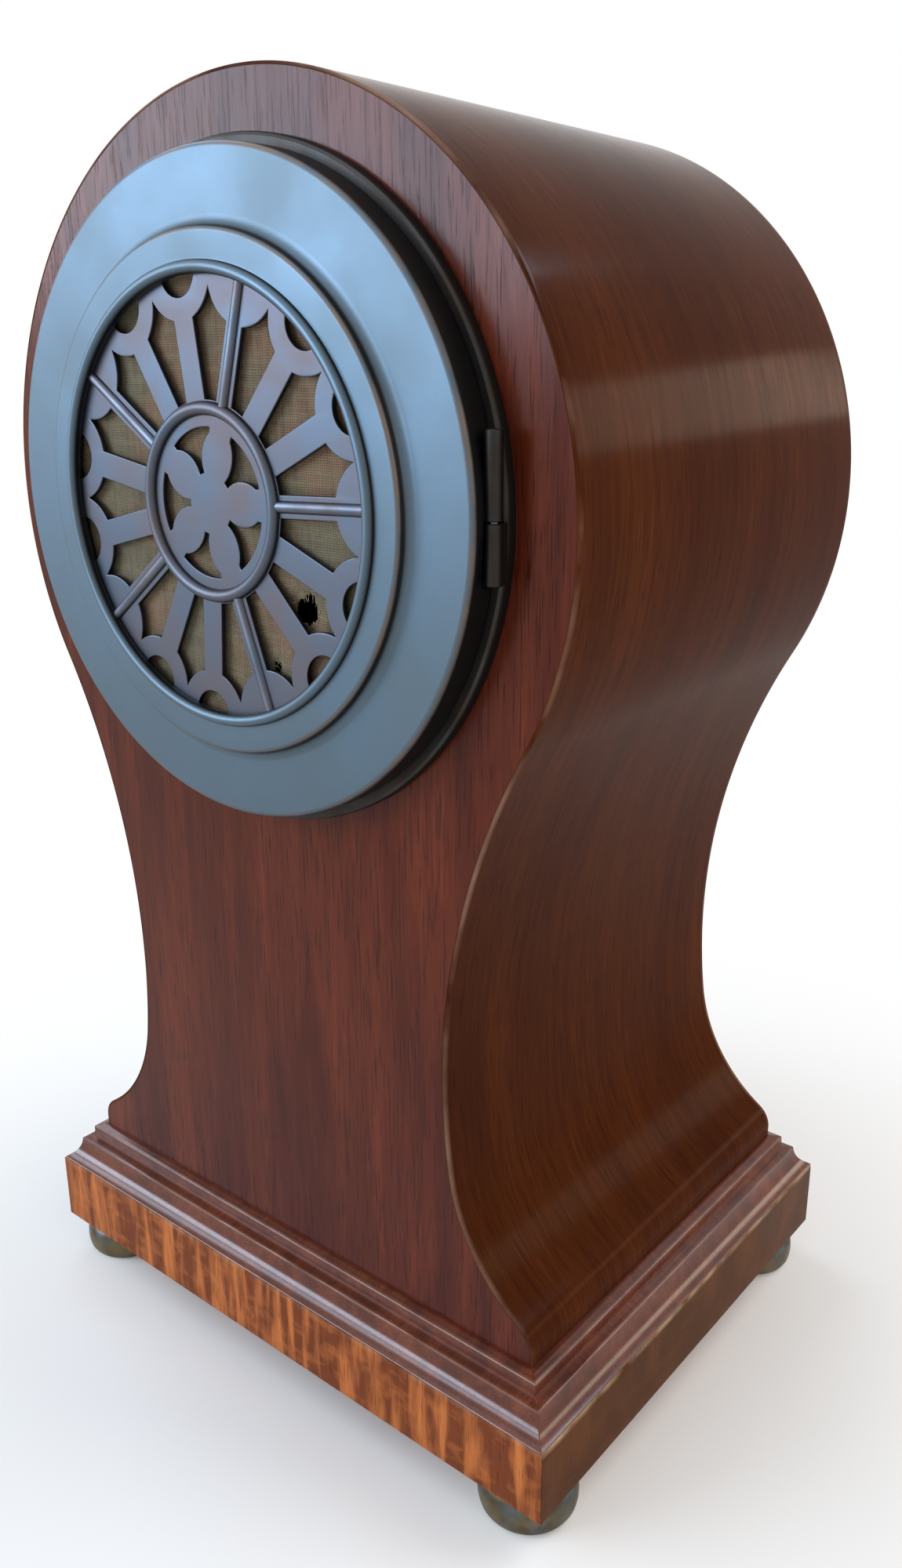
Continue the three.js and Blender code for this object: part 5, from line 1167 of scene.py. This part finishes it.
def numeral(text, height, y):
    """A Roman numeral, upright and centred, drawn with thick and thin strokes and serifs."""
    shape = Shape()
    wides = {"I": 0.34, "V": 0.72, "X": 0.72}
    thick, thin, serif = 0.15 * height, 0.045 * height, 0.05 * height
    total = sum(wides[c] * height for c in text)
    x = -total / 2
    for c in text:
        w = wides[c] * height
        left, right, middle = x + 0.12 * height, x + w - 0.12 * height, x + w / 2
        if c == "I":
            stroke(shape, middle, 0, middle, height, thick, y)
        elif c == "V":
            stroke(shape, left, height, middle, 0, thick, y)
            stroke(shape, right, height, middle, 0, thin, y)
        else:
            stroke(shape, left, height, right, 0, thick, y)
            stroke(shape, right, height, left, 0, thin, y)
        for z in (0, height):
            if c != "V" or z:
                stroke(shape, x + 0.02 * height, z, x + w - 0.02 * height, z, serif, y)
        x += w
    return shape


HOURS = ("XII", "I", "II", "III", "IIII", "V", "VI", "VII", "VIII", "IX", "X", "XI")
WINDING = ((19.5, -14), (-19.5, -14))


class CLOCK_OT_dial(bpy.types.Operator):
    """Make the enamel dial with its numerals and winding holes"""
    bl_idname = "clock.dial"
    bl_label = "Dial"

    def execute(self, context):
        dial = context.scene.clock_dial
        face = -HALF_DEPTH + GAP
        radius = dial.dial_radius / MM
        holes = [circle(0, 0, 3.5, 48), *[circle(x, z, 3.6, 48) for x, z in WINDING]]
        plain = pressed([circle(0, 0, radius), *holes], DIAL_T, 0.3, face)
        for deg in (30, 150, 270):
            foot = polar(40, radians(deg))
            plain.take(rod(1.5, face + DIAL_T - 0.1, face + 9.2, 24, upright=False), (foot.x, 0, foot.y))
        piece("dial_enamel", centred(plain), finish("enamel"), "case", "enamel", "dial_plate")
        ink = Shape()
        flat = face - 0.03
        for hour, text in enumerate(HOURS):
            drawn = numeral(text, NUMERAL_H, flat)
            a = 2 * pi * hour / len(HOURS)
            drawn.points = [(x * cos(a) + (z + NUMERAL_FOOT_R) * sin(a), y,
                             (z + NUMERAL_FOOT_R) * cos(a) - x * sin(a)) for x, y, z in drawn.points]
            ink.take(drawn)
        for inner in (TRACK_IN_R, TRACK_OUT_R - TRACK_LINE):
            line = plate(circle(0, 0, inner + TRACK_LINE), [circle(0, 0, inner)], flat - INK_T, flat + INK_T)
            ink.take(line)
        start, end = TRACK_IN_R + 0.1, TRACK_OUT_R - 0.2
        for minute in range(60):
            a = 2 * pi * minute / 60
            wide = 1.1 if minute % 5 == 0 else 0.35
            stroke(ink, start * sin(a), start * cos(a), end * sin(a), end * cos(a), wide, flat)
        piece("dial_numerals", centred(ink), finish("ink"), "case", "enamel")
        for side, (x, z) in zip(("right", "left"), WINDING):
            collet = lathe([
                (3.35, face + 0.2), (3.35, face - 0.3), (3.6, face - 0.5, 0.6), (4.3, face - 0.45, 0.6),
                (4.6, face - 0.1), (4.6, face - 0.02), (3.58, face - 0.02), (3.58, face + 0.2),
                (3.35, face + 0.2)], 64)
            piece("winding_collet_" + side, Shape().take(collet, (x, 0, CENTRE_Z + z)), finish("brass"),
                  "case", "brass")
        return {"FINISHED"}


def spade(length, boss):
    """Outline of a spade hand that points up."""
    stem, wide = 0.55, 0.13 * length
    half = [(boss * cos(t), boss * sin(t)) for t in [-pi / 2 + i * (pi - 0.12) / 24 for i in range(25)]]
    half.append((stem, 0.58 * length))
    for i in range(13):
        t = i / 12
        x = stem + (wide - stem) * sin(pi * t ** 0.8) ** 1.1 * (1 - 0.2 * t)
        half.append((max(x, 0.34), (0.6 + 0.26 * t) * length))
    half += [(0.3, 0.9 * length), (0.12, length)]
    return half + [(-x, z) for x, z in reversed(half)][:-1]


class CLOCK_OT_hands(bpy.types.Operator):
    """Make the blued hands and their nut"""
    bl_idname = "clock.hands"
    bl_label = "Hands"

    def execute(self, context):
        dial = context.scene.clock_dial
        for name, body, length, boss, pipe, lift in (
            ("hour_hand", "hour", dial.hour_hand / MM, 5.2, 3.1, HOUR_LIFT),
            ("minute_hand", "minute", dial.minute_hand / MM, 4, 1.9, MINUTE_LIFT),
        ):
            front = -HALF_DEPTH - lift - HAND_T
            made = pressed([spade(length, boss), circle(0, 0, pipe, 48)], HAND_T, 0.18, front)
            piece(name + "_spade", centred(made), finish("blued"), body, "blued_steel", name)
        back = MINUTE_LIFT + HAND_T + GAP
        nut = lathe(on_front([(0, back + 1.2), (1.2, back + 1.15), (2, back + 0.95), (2.5, back + 0.5, 0.6),
                              (2.6, back + 0.3), (2.6, back), (0, back)]), 64)
        piece("hand_nut_turned", centred(nut), finish("brass"), "minute", "brass", "hand_nut")
        return {"FINISHED"}


class CLOCK_OT_movement(bpy.types.Operator):
    """Finish the movement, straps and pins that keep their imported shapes"""
    bl_idname = "clock.movement"
    bl_label = "Movement"

    def execute(self, context):
        finishes = {"brass": "plate", "bronze": "bronze", "pine": "pine", "steel": "steel"}
        slots = {part["node"]: part["material_slot"] for part in frame["record"]["subparts"]}
        for name, node in frame["nodes"].items():
            if node.hide_render:
                continue
            node.data.materials.clear()
            node.data.materials.append(finish(finishes[slots[name]]))
            soft = node.modifiers.new("soft edges", "BEVEL")
            soft.width = 0.12 * MM
            soft.segments = 2
            soft.limit_method = "ANGLE"
            soft.angle_limit = radians(50)
        return {"FINISHED"}


def rays_that_see(tree):
    """1 for rays that show the background, straight on or in metal and glass, and 0 for rays that light."""
    path = add(tree, "LightPath").outputs
    seen = add(tree, "Math", {0: path["Is Camera Ray"], 1: path["Is Glossy Ray"]}, operation="MAXIMUM")
    return add(tree, "Math", {0: seen, 1: path["Is Transmission Ray"]}, operation="MAXIMUM")


def matt_paper(name, tone):
    """Matt white paper: dull, with the clock's shadow near it, and swept out to plain white farther away."""
    material, tree, shader = surface(name, {
        "Base Color": tone, "Roughness": 0.9, "Specular IOR Level": 0.1})
    place = add(tree, "TexCoord").outputs["Object"]
    reach = add(tree, "VectorMath", {0: place}, operation="LENGTH").outputs["Value"]
    away = add(tree, "MapRange", {"Value": reach, "From Min": 0.08, "From Max": 0.28})
    share = add(tree, "Math", {0: rays_that_see(tree), 1: away}, operation="MULTIPLY")
    white = add(tree, "Emission", {"Color": (1, 1, 1, 1), "Strength": 1.0})
    mixed = add(tree, "MixShader", {0: share, 1: shader, 2: white})
    output = next(n for n in tree.nodes if n.type == "OUTPUT_MATERIAL")
    fill(tree, output, {"Surface": mixed})
    return material


# Softboxes: name, place, aim, width, height (metres), watts, and which light they give
SOFTBOXES = (
    ("daylight_left", (1.0, 1.28, 0.56), (0.0, 0.05, 0.28), 1.1, 0.42, 20.0, "daylight"),
    ("daylight_cove", (0.95, 1.1, 0.98), (0.0, 0.09, 0.04), 1.3, 0.3, 10.0, "daylight"),
    ("daylight_ledge", (1.0, -0.35, 1.28), (0.0, 0.0, 0.1), 0.9, 0.5, 7.0, "daylight"),
    ("daylight_top", (0.2, 0.5, 1.5), (0.0, 0.0, 0.2), 1.2, 1.0, 5.0, "daylight"),
    ("lamp_strip_high", (-1.0, -1.1, 1.5), (-0.05, 0.0, 0.3), 1.4, 0.2, 14.0, "daylight"),
    ("lamp_strip_top", (-0.72, -0.9, 1.95), (-0.05, 0.0, 0.3), 1.2, 0.12, 7.0, "lamplight"),
    ("lamp_strip_low", (-1.15, -1.2, 0.64), (-0.05, 0.0, 0.3), 1.4, 0.34, 8.0, "lamplight"),
    ("lamp_right", (-1.4, 0.3, 0.7), (0.0, 0.0, 0.2), 0.7, 0.9, 3.0, "lamplight"),
)


class CLOCK_OT_stage(bpy.types.Operator):
    """Make the floor, the light and the camera"""
    bl_idname = "clock.stage"
    bl_label = "Stage"

    def execute(self, context):
        scene = context.scene
        stage = scene.clock_stage
        scene.view_settings.view_transform = "Standard"
        world = bpy.data.worlds.new("Studio")
        scene.world = world
        world.use_nodes = True
        tree = world.node_tree
        tree.nodes.clear()
        ambient = add(tree, "Background", {"Color": linear("dfe6f0"), "Strength": 0.35})
        white = add(tree, "Background", {"Color": (1, 1, 1, 1), "Strength": 1.0})
        mixed = add(tree, "MixShader", {0: rays_that_see(tree), 1: ambient, 2: white})
        add(tree, "OutputWorld", {"Surface": mixed})

        floor_mesh = bpy.data.meshes.new("floor")
        made = bmesh.new()
        bmesh.ops.create_circle(made, cap_ends=True, radius=12, segments=96)
        made.to_mesh(floor_mesh)
        made.free()
        floor = link("floor", floor_mesh)
        floor_mesh.materials.append(matt_paper("Matt paper", list(stage.floor)))
        for name, place, aim, wide, tall, watts, kind in SOFTBOXES:
            lamp = bpy.data.lights.new(name, "AREA")
            lamp.shape = "RECTANGLE"
            lamp.size, lamp.size_y = wide, tall
            lamp.energy = watts
            lamp.color = getattr(stage, kind)[:3]
            made = link(name, lamp)
            made.location = place
            made.rotation_euler = (Vector(aim) - Vector(place)).to_track_quat("-Z", "Y").to_euler()
        lens = bpy.data.cameras.new("camera")
        lens.lens = stage.lens
        lens.clip_start = 0.01
        camera = link("camera", lens)
        camera.location = (-0.23544, 0.27652, 0.28461)
        camera.rotation_euler = Euler([radians(d) for d in (71.744, 0.343, -140.656)], "XYZ")
        scene.camera = camera
        return {"FINISHED"}


MAKERS = (CLOCK_OT_stage, CLOCK_OT_case, CLOCK_OT_plinth, CLOCK_OT_back_door, CLOCK_OT_front,
          CLOCK_OT_dial, CLOCK_OT_hands, CLOCK_OT_movement)
SETTINGS = {"clock_case": ClockCaseSettings, "clock_door": ClockDoorSettings,
            "clock_dial": ClockDialSettings, "clock_stage": ClockStageSettings}


class VIEW3D_PT_clock(bpy.types.Panel):
    """Sizes, colours and makers of the clock"""
    bl_label = "Balloon mantel clock"
    bl_space_type = "VIEW_3D"
    bl_region_type = "UI"
    bl_category = "Clock"

    def draw(self, context):
        for key, group in SETTINGS.items():
            for field in group.__annotations__:
                self.layout.prop(getattr(context.scene, key), field)
        for maker in MAKERS:
            self.layout.operator(maker.bl_idname)


def register():
    for cls in (*SETTINGS.values(), *MAKERS, VIEW3D_PT_clock):
        bpy.utils.register_class(cls)
    for key, group in SETTINGS.items():
        setattr(bpy.types.Scene, key, PointerProperty(type=group))


def unregister():
    for key in SETTINGS:
        delattr(bpy.types.Scene, key)
    for cls in reversed((*SETTINGS.values(), *MAKERS, VIEW3D_PT_clock)):
        bpy.utils.unregister_class(cls)


def main():
    register()
    bpy.ops.clock.stage()
    bpy.ops.clock.case()
    bpy.ops.clock.plinth()
    bpy.ops.clock.back_door()
    bpy.ops.clock.front()
    bpy.ops.clock.dial()
    bpy.ops.clock.hands()
    bpy.ops.clock.movement()


if __name__ == "__main__":
    main()
